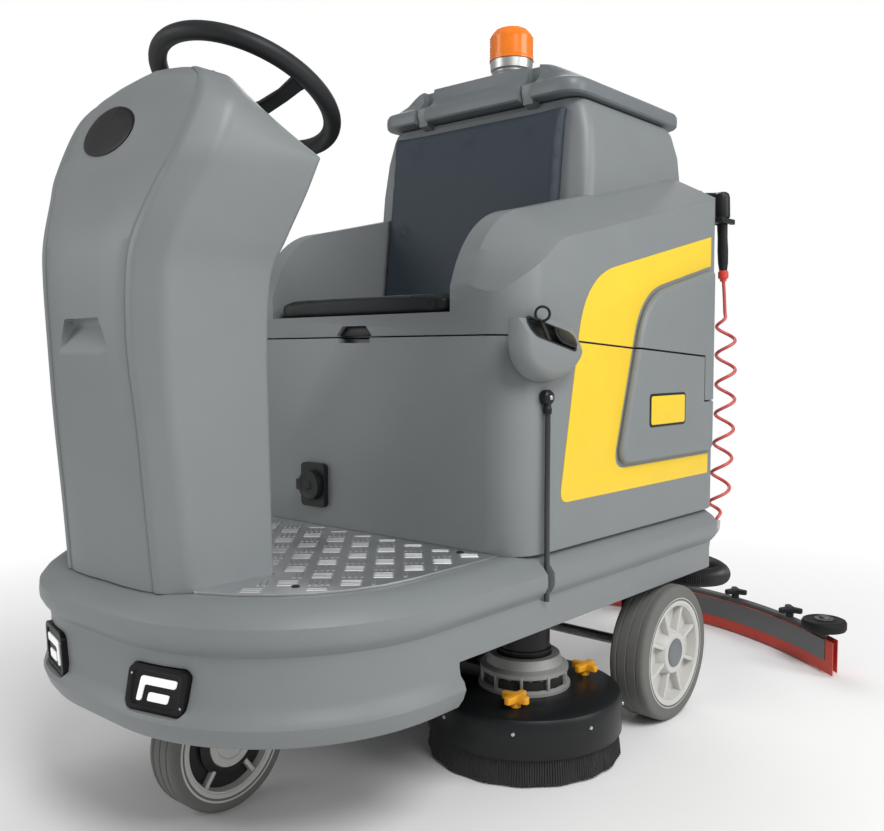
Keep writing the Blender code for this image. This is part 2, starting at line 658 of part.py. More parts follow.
def make_squeegee():
    pivot = (0, SWIVEL_Y, 0)
    stations = [SQUEEGEE_HALF * (i / 6 - 1) for i in range(13)]
    bar = swept_bar("squeegee_bar", stations, 0.0, BAR_DEPTH, BAR_LOW, BAR_TOP, DARK_GREY)
    low = BAR_TOP - 0.006
    socket = [(0, low), (0.036, low), (0.036, 0.122), (0.026, 0.122), (0.026, SOCKET_TOP), (0, SOCKET_TOP)]
    combine(bar, [turned("socket", socket, pivot, DARK_GREY, steps=28)], "UNION")
    mouth = [(0, 0.05), (0.021, 0.05), (0.021, SOCKET_TOP + 0.01), (0, SOCKET_TOP + 0.01)]
    combine(bar, [turned("mouth", mouth, pivot, GREY, steps=24)])
    half_gap = BAR_DEPTH / 2 + BLADE_THICK / 2 + GAP
    for word, offset in (("front", -half_gap), ("rear", half_gap)):
        swept_bar("squeegee_blade_" + word, [-BLADE_HALF, *stations, BLADE_HALF], offset, BLADE_THICK,
                  CLEAR_OF_FLOOR, BAR_TOP - 0.012, RED_RUBBER)
    for n, x in enumerate((-0.445, -0.250, 0.250, 0.445), 1):
        star_knob(f"squeegee_knob_{n}", x, squeegee_y(x), BAR_TOP + GAP, BLACK, arms=3, reach=0.034)
    for side, word in ((1, "left"), (-1, "right")):
        x = side * (SQUEEGEE_HALF - 0.012)
        y = squeegee_y(x) + 0.004
        low = BAR_TOP + 0.003
        roller = [
            (0.0063, low), (ROLLER_RADIUS - 0.005, low), (ROLLER_RADIUS, low + 0.005), (ROLLER_RADIUS,
                                                                                        low + 0.023),
            (ROLLER_RADIUS - 0.005, low + 0.028), (0.0063, low + 0.028),
        ]
        turned("bumper_roller_" + word, roller, (x, y, 0), BLACK, steps=28, ring=True)
        stud = [
            (0, BAR_TOP - 0.010), (0.006, BAR_TOP - 0.010), (0.006, low + 0.030), (0.014, low + 0.030),
            (0.014, low + 0.036), (0, low + 0.036),
        ]
        combine(bar, [turned("stud", stud, (x, y, 0), STEEL, steps=16)], "UNION")


def make_squeegee_arm():
    y0, z0 = ARM_AXIS
    line = [(y0, z0 + 0.010), (y0 + 0.110, z0 + 0.006), (SWIVEL_Y - 0.090, 0.1373), (SWIVEL_Y, 0.1373)]
    under = [(y, z - 0.014) for y, z in reversed(line)]
    arm = prism("squeegee_arm", line + under, -0.028, 0.028, STEEL_BLACK, axis="X")
    barrel = rod("barrel", 0.019, (-ARM_HALF, y0, z0), (ARM_HALF, y0, z0), STEEL_BLACK, 24)
    ring = turned("ring", [(0, 0.1233), (0.044, 0.1233), (0.044, 0.1373), (0, 0.1373)], (0, SWIVEL_Y, 0),
                  STEEL_BLACK)
    pin = rod("pin", ARM_PIN, (-ARM_HALF - 0.016, y0, z0), (ARM_HALF + 0.016, y0, z0), STEEL, 20)
    combine(arm, [barrel, ring, pin], "UNION")
    combine(arm, [rod("swivel_bore", 0.026 + GAP, (0, SWIVEL_Y, 0.1), (0, SWIVEL_Y, 0.2), GREY, 28)])
    arm.data.transform(Matrix.Translation((0, -y0, -z0)))
    arm.location = (0, y0, z0)


# ---------------------------------------------------------------- lower tank
def body_outline(inset=0.0):
    return rounded(-BODY_HALF + inset, BODY_HALF - inset, BODY_FRONT + inset, BODY_REAR - inset,
                   BODY_CORNER - inset, 4)


def seam_profile(lift, top):
    """(y, z) outline of everything above the seam, raised by lift; behind the drop it reaches the hinge."""
    front = BODY_FRONT - 0.1
    slope = (SEAM_REAR_Z - SEAM_FRONT_Z) / (SEAM_DROP_Y - BODY_FRONT)
    drop = SEAM_DROP_Y + lift
    seam = lambda y: SEAM_FRONT_Z + slope * (y - BODY_FRONT) + lift
    return [(front, seam(front)), (drop, seam(drop)), (drop, HINGE_Z + lift),
            (BODY_REAR + 0.1, HINGE_Z + lift),
            (BODY_REAR + 0.1, top), (front, top)]


def knuckle(name, x0, x1, reach, finish):
    """A hinge barrel behind the rear face with its leg, which reaches up or down the wall."""
    barrel = rod(name, 0.011, (x0, HINGE_Y, HINGE_Z), (x1, HINGE_Y, HINGE_Z), finish, 20)
    low, high = sorted((HINGE_Z, HINGE_Z + reach))
    leg = box("leg", (x0, BODY_REAR - 0.004, low), (x1, HINGE_Y + 0.006, high), finish)
    combine(barrel, [leg], "UNION")
    return barrel


def make_lower_tank():
    tank = prism("lower_tank", body_outline(), BASE_TOP + GAP, 0.95, GREY)
    combine(tank, [prism("above_seam", seam_profile(0.0, 1.1), -0.6, 0.6, GREY, axis="X")])
    bay = prism("bay", rounded(-BAY_HALF, BAY_HALF, BAY_FRONT, BAY_REAR, 0.02, 3), BAY_FLOOR, 1.0, GREY)
    notch = box("notch", (-0.045, BODY_FRONT - 0.02, SEAM_FRONT_Z - 0.010), (0.045, BODY_FRONT + 0.03, 0.9),
                GREY)
    combine(tank, [bay, notch])
    arms = []
    for side in (1, -1):
        for x in (0.195, 0.243):
            low, high = mirrored(side, x, x + 0.022)
            arms.append(knuckle("lower_knuckle", low, high, -0.045, GREY))
    plate = box("side_plate", (BODY_HALF - 0.006, 0.775, 0.668), (BODY_HALF + 0.003, 0.945, 0.735), YELLOW)
    combine(tank, [*arms, plate], "UNION")
    combine(tank, [rod("pin_bore", 0.0053, (-0.3, HINGE_Y, HINGE_Z), (0.3, HINGE_Y, HINGE_Z), GREY, 16)])
    half, front, rear = BAY_HALF - 0.012, BAY_FRONT + 0.012, BAY_REAR - 0.012
    box("battery_pack", (-half, front, BAY_FLOOR + GAP), (half, rear, BAY_FLOOR + 0.265), BLACK, bevel=0.006)
    rod("tank_hinge_pin", 0.005, (-0.268, HINGE_Y, HINGE_Z), (0.268, HINGE_Y, HINGE_Z), STEEL, 16)
    make_charge_socket()
    make_filler()
    make_level_tube()


def make_charge_socket():
    x, z = SOCKET_X, SOCKET_Z
    face = BODY_FRONT - GAP
    flange = prism("charge_socket", rounded(x - 0.036, x + 0.036, z - 0.046, z + 0.046, 0.010, 3),
                   face - 0.012, face,
                   BLACK, axis="Y")
    nose = [(0, 0.010), (0.031, 0.010), (0.031, 0.020), (0, 0.020)]
    forward = Matrix.Rotation(math.pi / 2, 4, "X")
    combine(flange, [turned("nose", nose, (x, face, z), BLACK, tilt=forward, steps=28)], "UNION")
    bore = [(0, 0.006), (0.025, 0.006), (0.025, 0.030), (0, 0.030)]
    combine(flange, [turned("bore", bore, (x, face, z), BLACK, tilt=forward, steps=28)])
    hinge_x = x - 0.034
    flap_y = face - 0.020 - GAP
    flap = turned("charge_flap", [(0, 0), (0.032, 0), (0.032, 0.004), (0.026, 0.006), (0, 0.006)],
                  (x, flap_y, z),
                  BLACK, tilt=forward, steps=28, origin=(hinge_x, flap_y - 0.002, z))
    tab = box("tab", (hinge_x - 0.004, flap_y - 0.0045, z - 0.012), (x - 0.024, flap_y, z + 0.012), BLACK)
    combine(flap, [tab], "UNION")


def make_filler():
    """The filler pocket bulges from the left side, with a neck and its cap inside."""
    y, z = FILLER_Y, FILLER_Z
    side = BODY_HALF + GAP
    outline = [(y + a, b) for a, b in arc(0, z + 0.010, 0.098, 180, 360, 10)]
    outline = [(a, z + 0.010 + (b - z - 0.010) * 0.66) for a, b in outline]
    outline += [(y + 0.098, z + 0.045), (y - 0.098, z + 0.045)]
    rim = [(side, a, b) for a, b in outline]
    mid = [(side + 0.028, y + (a - y) * 0.92, z + 0.045 + (b - z - 0.045) * 0.86) for a, b in outline]
    out = [(side + 0.036, y + (a - y) * 0.80, z + 0.045 + (b - z - 0.045) * 0.66) for a, b in outline]
    pocket = loft("filler_pocket", [rim, mid, out], GREY)
    cup = prism("cup", rounded(y - 0.075, y + 0.075, z - 0.005, z + 0.1, 0.012, 3), side + 0.004,
                side + 0.029, GREY,
                axis="X")
    combine(pocket, [cup])
    middle = side + 0.0165
    floor, low = z - 0.010, z + 0.008
    oval = lambda at, wide, long: rounded(middle - wide, middle + wide, at - long, at + long, wide - 0.0005,
                                          5)
    necks = [
        prism("neck", oval(y - 0.038, 0.012, 0.030), floor, z + 0.029, BLACK),
        prism("neck", oval(y + 0.038, 0.009, 0.027), floor, low, BLACK),
    ]
    combine(pocket, necks, "UNION")
    combine(pocket, [prism("mouth", oval(y - 0.038, 0.0085, 0.026), z + 0.004, 1.0, BLACK)])
    cap = prism("filler_cap", oval(y + 0.038, 0.012, 0.030), low + GAP, z + 0.029, BLACK)
    hinge = Vector((middle, y + 0.008, z + 0.029))
    cap.data.transform(Matrix.Translation(-hinge))
    cap.location = hinge


def make_level_tube():
    """Sight tube on the left side: a swivel elbow above, and a slot in the base below."""
    x = BODY_HALF + 0.0085
    top = 0.700
    head = turned("tube_elbow", [(0, 0), (0.014, 0), (0.014, 0.016), (0, 0.016)],
                  (BODY_HALF + GAP, TUBE_Y, 0.730),
                  BLACK, axis="X", steps=24)
    neck = rod("neck", 0.0075, (x, TUBE_Y, top + GAP), (x, TUBE_Y, 0.725), BLACK, 16)
    combine(head, [neck], "UNION")
    route = [(x, TUBE_Y, top), (x, TUBE_Y, 0.62), (x, TUBE_Y, 0.52), (x + 0.001, TUBE_Y, 0.44),
             (x + 0.001, TUBE_Y, 0.36)]
    pipe("level_tube", smooth_route(route, 0.018), 0.0055, CLEAR)


# ---------------------------------------------------------------- upper body
def shoulder_z(y):
    """Height of the armrests' inner edge."""
    return 1.078 + (y - 0.46) * 0.235


def upper_profile():
    """(y, z) outline of the upper body, armrests included, above the seam."""
    seam = seam_profile(SEAM_GAP, 1.3)
    lower = [(BODY_FRONT - 0.02, seam[0][1] - 0.004), seam[1], seam[2], (BODY_REAR + 0.02, seam[2][1])]
    curve = [(0.335, 0.935), (0.352, 0.975), (0.376, 1.015), (0.412, 1.052), (0.460, 1.078),
             (0.530, shoulder_z(0.53))]
    rear = [(1.100, shoulder_z(1.100)), (1.180, 1.165)]
    return lower + rear[::-1] + curve[::-1] + [(BODY_FRONT - 0.02, 0.90)]


def make_upper_body():
    body = prism("recovery_tank", body_outline(), 0.60, 1.50, GREY)
    combine(body, [prism("side_view", upper_profile(), -0.6, 0.6, GREY, axis="X")], "INTERSECT")
    well = box("seat_well", (-SEAT_HALF - 0.004, 0.1, SEAT_Z),
               (SEAT_HALF + 0.004, BACK_TOP_Y + BACK_THICK, 1.4), GREY)
    cuts = [well]
    slope = 0.55
    for side in (1, -1):
        wedge = []
        for y in (0.2, 1.4):
            z = shoulder_z(y)
            edge = [(0.300, z + 0.001), (0.500, z + 0.001 - 0.200 * slope), (0.500, z + 0.3),
                    (0.300, z + 0.3)]
            wedge.append([(side * a, y, b) for a, b in edge])
        cuts.append(loft("shoulder", wedge, GREY))
    notch = box("notch", (-0.045, BODY_FRONT - 0.02, 0.8), (0.045, BODY_FRONT + 0.03, SEAM_FRONT_Z + 0.018),
                GREY)
    cuts.append(notch)
    combine(body, cuts)
    front_low, front_top = BACK_LOW_Y + BACK_THICK + GAP, BACK_TOP_Y + BACK_THICK + GAP
    steep = (front_top - front_low) / (TANK_TOP - SEAT_Z)
    front = lambda z: front_low + steep * (z - SEAT_Z)
    levels = ((SEAT_Z - 0.01, 0.305, BODY_REAR - 0.004), (1.20, 0.305, BODY_REAR - 0.004),
              (TANK_TOP - 0.02, 0.282, 1.150),
              (TANK_TOP, 0.272, 1.135))
    rings = [
        [(x, y, z) for x, y in rounded(-half, half, front(z), rear, 0.030, 4)] for z, half, rear in levels
    ]
    combine(body, [loft("tower", rings, GREY)], "UNION")
    inside = rounded(-0.240, 0.240, BACK_TOP_Y + BACK_THICK + 0.030, BODY_REAR - 0.040, 0.03, 3)
    combine(body, [prism("inside", inside, SEAT_Z + 0.03, 1.6, GREY)])
    extras = []
    for side in (1, -1):
        low, high = mirrored(side, TAB_X - 0.013, TAB_X + 0.013)
        tab = [(0.7455, TANK_TOP - 0.012), (0.7455, TANK_TOP), (0.726, LID_AXIS[1] + 0.009),
               (0.710, LID_AXIS[1] + 0.009), (0.708, LID_AXIS[1] - 0.006), (0.716, TANK_TOP - 0.002)]
        extras.append(prism("tab", tab, low, high, GREY, axis="X"))
        low, high = mirrored(side, 0.2175, 0.2425)
        extras.append(knuckle("upper_knuckle", low, high, 0.045, GREY))
    combine(body, [*extras, make_gun_clip()], "UNION")
    bores = [rod("pin_bore", 0.0053, (-0.3, HINGE_Y, HINGE_Z), (0.3, HINGE_Y, HINGE_Z), GREY, 16)]
    bores.append(rod("lid_bore", 0.0043, (-0.3, *LID_AXIS), (0.3, *LID_AXIS), GREY, 16))
    combine(body, bores)
    body.data.transform(Matrix.Translation((0, -HINGE_Y, -HINGE_Z)))
    body.location = (0, HINGE_Y, HINGE_Z)
    make_upholstery(front)
    make_lid()


def make_upholstery(front):
    plan = rounded(-SEAT_HALF, SEAT_HALF, BODY_FRONT - 0.006, BACK_LOW_Y - 0.004, 0.025, 4)
    inner = rounded(-SEAT_HALF + 0.004, SEAT_HALF - 0.004, BODY_FRONT - 0.002, BACK_LOW_Y - 0.008, 0.021, 4)
    low, high = SEAT_Z + GAP, SEAT_Z + SEAT_THICK
    loft("seat_cushion", [[(x, y, low) for x, y in plan], [(x, y, high - 0.004) for x, y in plan],
                          [(x, y, high) for x, y in inner]], SEAT_BLACK)
    bottom, top = SEAT_Z + SEAT_THICK + GAP, TANK_TOP - 0.014
    panel = []
    for z in (bottom, top):
        back = front(z) - GAP
        face = back - BACK_THICK + 2 * GAP
        panel.append([(-BACK_HALF + 0.014, face, z), (BACK_HALF - 0.014, face, z),
                      (BACK_HALF - 0.014, back, z),
                      (-BACK_HALF + 0.014, back, z)])
    loft("backrest_pad", panel, SLATE)


def lid_ring(inset, z, drop=0.0):
    plan = rounded(-LID_HALF + inset, LID_HALF - inset, LID_FRONT + min(inset, 0.035), LID_REAR - inset,
                   0.03, 4)
    return [(x, y, z - drop * (abs(x) / LID_HALF) ** 2) for x, y in plan]


def make_lid():
    rings = [lid_ring(0.010, LID_BOTTOM), lid_ring(0.0, LID_BOTTOM + 0.010), lid_ring(0.0, 1.392),
             lid_ring(0.012, 1.404), lid_ring(0.085, LID_TOP)]
    lid = loft("tank_lid", rings, LID_GREY, crease=25)
    cuts = []
    for side in (1, -1):
        low, high = mirrored(side, TAB_X - 0.016, TAB_X + 0.016)
        cuts.append(box("tab_notch", (low, LID_FRONT - 0.05, 1.2), (high, 0.752, 1.6), GREY))
    lining = rounded(-0.225, 0.225, 0.775, LID_REAR - 0.075, 0.02, 3)
    cuts.append(prism("lining", lining, 1.2, 1.388, GREY))
    cuts.append(rod("lid_bore", 0.0043, (-PIN_END, *LID_AXIS), (PIN_END, *LID_AXIS), GREY, 16))
    combine(lid, cuts)
    lid.data.transform(Matrix.Translation((0, -LID_AXIS[0], -LID_AXIS[1])))
    lid.location = (0, *LID_AXIS)
    rod("lid_pin", 0.004, (-PIN_END + 0.001, *LID_AXIS), (PIN_END - 0.001, *LID_AXIS), STEEL, 16)
    foot = LID_TOP + GAP
    base = [(0, foot), (0.054, foot), (0.054, foot + 0.012), (0.047, foot + 0.018), (0.047, foot + 0.046),
            (0, foot + 0.046)]
    turned("beacon_base", base, (0, BEACON_Y, 0), BLACK, steps=32)
    low = foot + 0.046 + GAP
    dome = [(0, low), (0.050, low), (0.049, low + 0.074), (0.044, low + 0.086), (0.030, low + 0.094),
            (0, low + 0.096)]
    turned("beacon_lens", dome, (0, BEACON_Y, 0), LENS, steps=32)


# ---------------------------------------------------------------- spray gun and hoses
def make_gun_clip():
    """A small forked shelf on the rear wall, under the shoulders of the gun."""
    x, y = GUN_X, GUN_Y
    clip = box("clip", (x - 0.0185, BODY_REAR - 0.030, 1.122), (x + 0.024, y + 0.022, 1.134), BLACK)
    combine(clip, [box("gap", (x - 0.0133, y - 0.0133, 1.1), (x + 0.0133, y + 0.05, 1.2), BLACK)])
    return clip


def make_spray_gun():
    """The gun hangs in its clip on the left rear corner; its hose is coiled below it."""
    x, y = GUN_X, GUN_Y
    top = [
        (0, 0.985), (0.009, 0.985), (0.013, 0.992), (0.013, 1.134 + GAP), (0.019, 1.140), (0.019, 1.190),
        (0.014, 1.200), (0, 1.200),
    ]
    grip = turned("spray_gun", top, (x, y, 0), BLACK, steps=20)
    barrel = rod("barrel", 0.012, (x, y, 1.186), (x - 0.060, y, 1.192), BLACK, 20)
    tip = rod("tip", 0.017, (x - 0.056, y, 1.1915), (x - 0.074, y, 1.1933), BLACK, 20)
    combine(grip, [barrel, tip], "UNION")
    combine(grip, [box("slot", (x - 0.05, y - 0.004, 1.131), (x - 0.012, y + 0.004, 1.168), BLACK)])
    blade = [(0.016, 1.147), (0.016, 1.166), (0.023, 1.166), (0.032, 1.120), (0.036, 1.075), (0.031, 1.075),
             (0.0275, 1.118), (0.0245, 1.136)]
    outline = [(x - reach, z) for reach, z in blade]
    trigger = prism("gun_trigger", outline, y - 0.0035, y + 0.0035, BLACK, axis="Y")
    hinge = Vector((x - 0.018, y, 1.160))
    trigger.data.transform(Matrix.Translation(-hinge))
    trigger.location = hinge


def make_hoses():
    """The curly hose of the gun, as a tube of its outer size, and the squeegee's suction hose."""
    top, low = (GUN_X, GUN_Y, 0.985 - GAP), (GUN_X, GUN_Y, COIL_LOW)
    pipe("recoil_hose", smooth_route([top, low], 0.060), COIL_RADIUS, RED)
    pipe("suction_hose", smooth_route(SUCTION_ROUTE, 0.026), SUCTION_RADIUS, HOSE_BLACK)


# ---------------------------------------------------------------- shared places
TUBE_Y = 0.412
SHAFT_RADIUS = 0.013
MOTOR_RADIUS = 0.056
HEEL = Vector((-0.270, 0.030, 0.462))
PEDAL_PIN = 0.003
PEDAL_LEAN = 0.28
INLET_Z = 0.372
ARM_HALF = 0.060
ARM_PIN = 0.008
POST_X = 0.120
POST_RADIUS = 0.014
STEM_RADIUS = 0.020
BEARING_Z = 0.300
SOCKET_TOP = 0.185
BAY_HALF = 0.345
BAY_FRONT = 0.400
BAY_REAR = 1.000
BAY_FLOOR = 0.500
SOCKET_X = -0.115
SOCKET_Z = 0.534
FILLER_Y = 0.405
FILLER_Z = 0.812
TAB_X = 0.153
PIN_END = 0.168
BEACON_Y = 0.860
GUN_X = 0.380
GUN_Y = 1.205
COIL_RADIUS = 0.026
COIL_LOW = 0.400
SUCTION_RADIUS = 0.024
SUCTION_ROUTE = [
    (0.200, 1.070, 0.330),
    (0.200, 1.070, 0.305),
    (0.212, 1.088, 0.268),
    (0.262, 1.140, 0.250),
    (0.330, 1.205, 0.246),
    (0.352, 1.290, 0.240),
    (0.305, 1.375, 0.236),
    (0.205, 1.440, 0.240),
    (0.105, 1.510, 0.255),
    (0.035, 1.590, 0.275),
    (0.006, 1.648, 0.266),
    (0.000, SWIVEL_Y, 0.236),
    (0.000, SWIVEL_Y, 0.212),
    (0.000, SWIVEL_Y, SOCKET_TOP + GAP),
]

clear_scene()

GREY = paint("body_grey", (0.21, 0.225, 0.23), 0.45)
LID_GREY = paint("lid_grey", (0.16, 0.18, 0.19), 0.45)
DARK_GREY = paint("squeegee_grey", (0.09, 0.095, 0.10), 0.5)
BLACK = paint("black_plastic", (0.02, 0.022, 0.024), 0.5)
STEEL_BLACK = paint("black_steel", (0.03, 0.03, 0.032), 0.55, 0.3)
STEEL = paint("bright_steel", (0.55, 0.55, 0.55), 0.3, 1.0)
CAST = paint("cast_metal", (0.30, 0.30, 0.29), 0.5, 0.7)
ALUMINIUM = paint("tread_plate", (0.70, 0.71, 0.72), 0.3, 1.0)
RUBBER = paint("black_rubber", (0.02, 0.02, 0.02), 0.8)
TYRE = paint("grey_tyre", (0.14, 0.14, 0.135), 0.8)
RIM = paint("wheel_centre", (0.56, 0.55, 0.53), 0.5)
BRISTLE = paint("bristle_black", (0.012, 0.012, 0.013), 0.9)
ORANGE = paint("knob_yellow", (0.95, 0.42, 0.02), 0.4)
YELLOW = paint("panel_yellow", (0.88, 0.60, 0.03), 0.4)
RED = paint("hose_red", (0.65, 0.07, 0.05), 0.4)
RED_RUBBER = paint("blade_red", (0.60, 0.06, 0.05), 0.5)
HOSE_BLACK = paint("hose_black", (0.02, 0.02, 0.02), 0.6)
SLATE = paint("backrest_slate", (0.045, 0.058, 0.072), 0.6)
SEAT_BLACK = paint("seat_black", (0.016, 0.018, 0.02), 0.6)
LENS = paint("beacon_orange", (0.95, 0.20, 0.01), 0.15)
CLEAR = paint("clear_tube", (0.45, 0.47, 0.48), 0.15)

make_base()
make_column()
make_steering()
make_pedal()
make_chassis()
make_rear_wheels()
make_front_wheel()
make_deck()
make_squeegee()
make_squeegee_arm()
make_lower_tank()
make_upper_body()
make_spray_gun()
make_hoses()
bpy.context.view_layer.update()
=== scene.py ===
"""Looks of the ride-on floor scrubber: moulded shells, wheels, brushes, hoses, upholstery and finishes."""

from math import asin, atan, copysign, cos, exp, hypot, pi, radians, sin

import bmesh
import bpy
from mathutils import Matrix, Vector
from mathutils.bvhtree import BVHTree


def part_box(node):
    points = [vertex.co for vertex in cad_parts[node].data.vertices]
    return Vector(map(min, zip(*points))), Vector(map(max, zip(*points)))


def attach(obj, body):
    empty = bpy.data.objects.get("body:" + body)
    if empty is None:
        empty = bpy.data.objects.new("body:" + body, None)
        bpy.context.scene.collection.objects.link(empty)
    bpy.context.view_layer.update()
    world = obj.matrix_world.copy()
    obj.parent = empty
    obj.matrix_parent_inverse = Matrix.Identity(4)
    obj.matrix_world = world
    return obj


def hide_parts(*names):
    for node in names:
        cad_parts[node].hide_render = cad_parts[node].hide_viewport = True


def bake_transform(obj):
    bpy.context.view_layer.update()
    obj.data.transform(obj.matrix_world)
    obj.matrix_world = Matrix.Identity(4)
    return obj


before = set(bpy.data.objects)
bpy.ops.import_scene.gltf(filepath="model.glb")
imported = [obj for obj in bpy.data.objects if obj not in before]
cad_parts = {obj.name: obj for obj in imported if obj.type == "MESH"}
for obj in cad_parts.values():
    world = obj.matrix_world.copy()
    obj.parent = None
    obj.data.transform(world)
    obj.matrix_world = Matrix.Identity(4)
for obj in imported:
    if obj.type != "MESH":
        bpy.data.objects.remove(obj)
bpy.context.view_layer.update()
scene = bpy.context.scene
GREY = (0.205, 0.222, 0.228)


# ---------------------------------------------------------------- finishes
class Level:
    """A shader socket that can be written in a sum."""

    def __init__(self, tree, socket):
        self.tree = tree
        self.socket = socket

    def math(self, operation, first, second):
        node = self.tree.nodes.new("ShaderNodeMath")
        node.operation = operation
        for place, value in zip(node.inputs, (first, second)):
            if isinstance(value, Level):
                self.tree.links.new(value.socket, place)
            else:
                place.default_value = value
        return Level(self.tree, node.outputs[0])

    def __add__(self, other):
        return self.math("ADD", self, other)

    def __radd__(self, other):
        return self.math("ADD", other, self)

    def __sub__(self, other):
        return self.math("SUBTRACT", self, other)

    def __mul__(self, other):
        return self.math("MULTIPLY", self, other)


class Finish:
    """A material built in words: patterns on the piece's own coordinates feed the surface."""

    def __init__(self, name, roughness=0.5, metallic=0.0, **constants):
        self.material = bpy.data.materials.new(name)
        self.material.use_nodes = True
        self.tree = self.material.node_tree
        self.surface = self.tree.nodes["Principled BSDF"]
        self.surface.inputs["Roughness"].default_value = roughness
        self.surface.inputs["Metallic"].default_value = metallic
        for socket, value in constants.items():
            self.surface.inputs[socket.replace("_", " ")].default_value = value
        self.place = self.tree.nodes.new("ShaderNodeTexCoord").outputs["Object"]

    def node(self, kind, settings=None, **sockets):
        node = self.tree.nodes.new("ShaderNode" + kind)
        for setting, value in (settings or {}).items():
            setattr(node, setting, value)
        for socket, value in sockets.items():
            place = node.inputs[socket.replace("_", " ")]
            if isinstance(value, Level):
                self.tree.links.new(value.socket, place)
            elif isinstance(value, bpy.types.NodeSocket):
                self.tree.links.new(value, place)
            else:
                place.default_value = value
        return node

    def noise(self, scale, detail=3.0, roughness=0.55):
        node = self.node("TexNoise", Vector=self.place, Scale=scale, Detail=detail, Roughness=roughness)
        return Level(self.tree, node.outputs["Fac"])

    def grain(self, scale):
        node = self.node("TexVoronoi", Vector=self.place, Scale=scale)
        return Level(self.tree, node.outputs["Distance"])

    def axis(self, letter):
        node = self.node("SeparateXYZ", Vector=self.place)
        return Level(self.tree, node.outputs[letter])

    def ramp(self, level, low, high):
        node = self.node("MapRange", {"clamp": True}, Value=level, From_Min=low, From_Max=high)
        return Level(self.tree, node.outputs[0])

    def mixed(self, factor, first, second):
        node = self.tree.nodes.new("ShaderNodeMix")
        node.data_type = "RGBA"
        self.tree.links.new(factor.socket, node.inputs["Factor"])
        for place, colour in ((node.inputs[6], first), (node.inputs[7], second)):
            if isinstance(colour, bpy.types.NodeSocket):
                self.tree.links.new(colour, place)
            else:
                place.default_value = (*colour, 1.0)
        return node.outputs[2]

    def colour(self, value):
        if isinstance(value, bpy.types.NodeSocket):
            self.tree.links.new(value, self.surface.inputs["Base Color"])
        else:
            self.surface.inputs["Base Color"].default_value = (*value, 1.0)
        return self

    def rough(self, level):
        self.tree.links.new(level.socket, self.surface.inputs["Roughness"])
        return self

    def bump(self, level, strength, depth):
        node = self.node("Bump", Height=level, Strength=strength, Distance=depth)
        self.tree.links.new(node.outputs["Normal"], self.surface.inputs["Normal"])
        return self


def tone(colour, share):
    return tuple(min(1.0, c * share) for c in colour)


def moulded(name, colour, roughness=0.45, grain=900.0, depth=0.0002, dust=0.10, gloss=0.5):
    """Moulded plastic: a fine grain, clouds of slightly different tone and dust that settles low down."""
    finish = Finish(name, roughness, Specular_IOR_Level=gloss)
    clouds = finish.noise(6.0, 4.0)
    fine = finish.noise(grain, 2.0)
    base = finish.mixed(clouds, tone(colour, 0.93), tone(colour, 1.07))
    scuffs = finish.ramp(finish.noise(38.0, 8.0, 0.7), 0.62, 0.74)
    low = finish.ramp(finish.axis("Z"), 0.55, 0.05)
    worn = finish.mixed(scuffs * (low * 0.5 + dust), base, tone(colour, 1.45))
    finish.colour(worn)
    finish.rough(roughness + (clouds - 0.5) * 0.14 + scuffs * 0.06)
    return finish.bump(fine * 0.7 + clouds * 0.3, 0.35, depth).material


def speckled(name, colour, roughness, cloud, tones, sway, relief, bump, middle=0.5, metallic=0.0,
             **constants):
    """A plain finish: cloudy in tone and shine, with a fine relief; cloud and relief are noise settings."""
    finish = Finish(name, roughness, metallic, **constants)
    clouds = finish.noise(*cloud)
    finish.colour(finish.mixed(clouds, tone(colour, tones[0]), tone(colour, tones[1])))
    finish.rough(roughness + (clouds - middle) * sway)
    return finish.bump(finish.noise(*relief), *bump).material


def coated(name, colour, roughness=0.42, metallic=0.0):
    """Powder coating: a faint orange peel."""
    return speckled(name, colour, roughness, (9.0, 3.0), (0.85, 1.2), 0.2, (420.0, 2.0), (0.4, 0.0003),
                    metallic=metallic, Specular_IOR_Level=0.3)


def metal(name, colour, roughness=0.28, brush=700.0):
    return speckled(name, colour, roughness, (14.0, 5.0), (0.82, 1.05), 0.14, (brush, 2.0), (0.15, 0.0002),
                    0.0, 1.0)


def rubber(name, colour, roughness=0.7):
    return speckled(name, colour, roughness, (24.0, 6.0, 0.65), (0.86, 1.16), 0.2, (260.0, 3.0),
                    (0.5, 0.0006), Specular_IOR_Level=0.25)


def vinyl(name, colour, roughness=0.5):
    """Upholstery vinyl: small pebbles and soft creases."""
    finish = Finish(name, roughness, Specular_IOR_Level=0.28)
    pebble = finish.grain(520.0)
    crease = finish.noise(30.0, 5.0, 0.6)
    finish.colour(finish.mixed(crease, tone(colour, 0.85), tone(colour, 1.2)))
    finish.rough(roughness + (crease - 0.5) * 0.15)
    return finish.bump(pebble * 0.7 + crease * 0.6, 0.6, 0.0007).material


def glossy(name, colour, roughness=0.18, **constants):
    return speckled(name, colour, roughness, (30.0, 4.0), (0.94, 1.06), 0.08, (160.0, 2.0), (0.08, 0.0004),
                    0.0, **constants)


def bristles(name):
    """Stiff black fibres: fine upright streaks."""
    finish = Finish(name, 0.75)
    mapping = finish.node("Mapping", Vector=finish.place, Scale=(900.0, 900.0, 24.0))
    noise = finish.node("TexNoise", Vector=mapping.outputs[0], Scale=1.0)
    streak = Level(finish.tree, noise.outputs["Fac"])
    finish.colour(finish.mixed(streak, (0.006, 0.006, 0.007), (0.045, 0.045, 0.048)))
    return finish.bump(streak, 0.9, 0.002).material


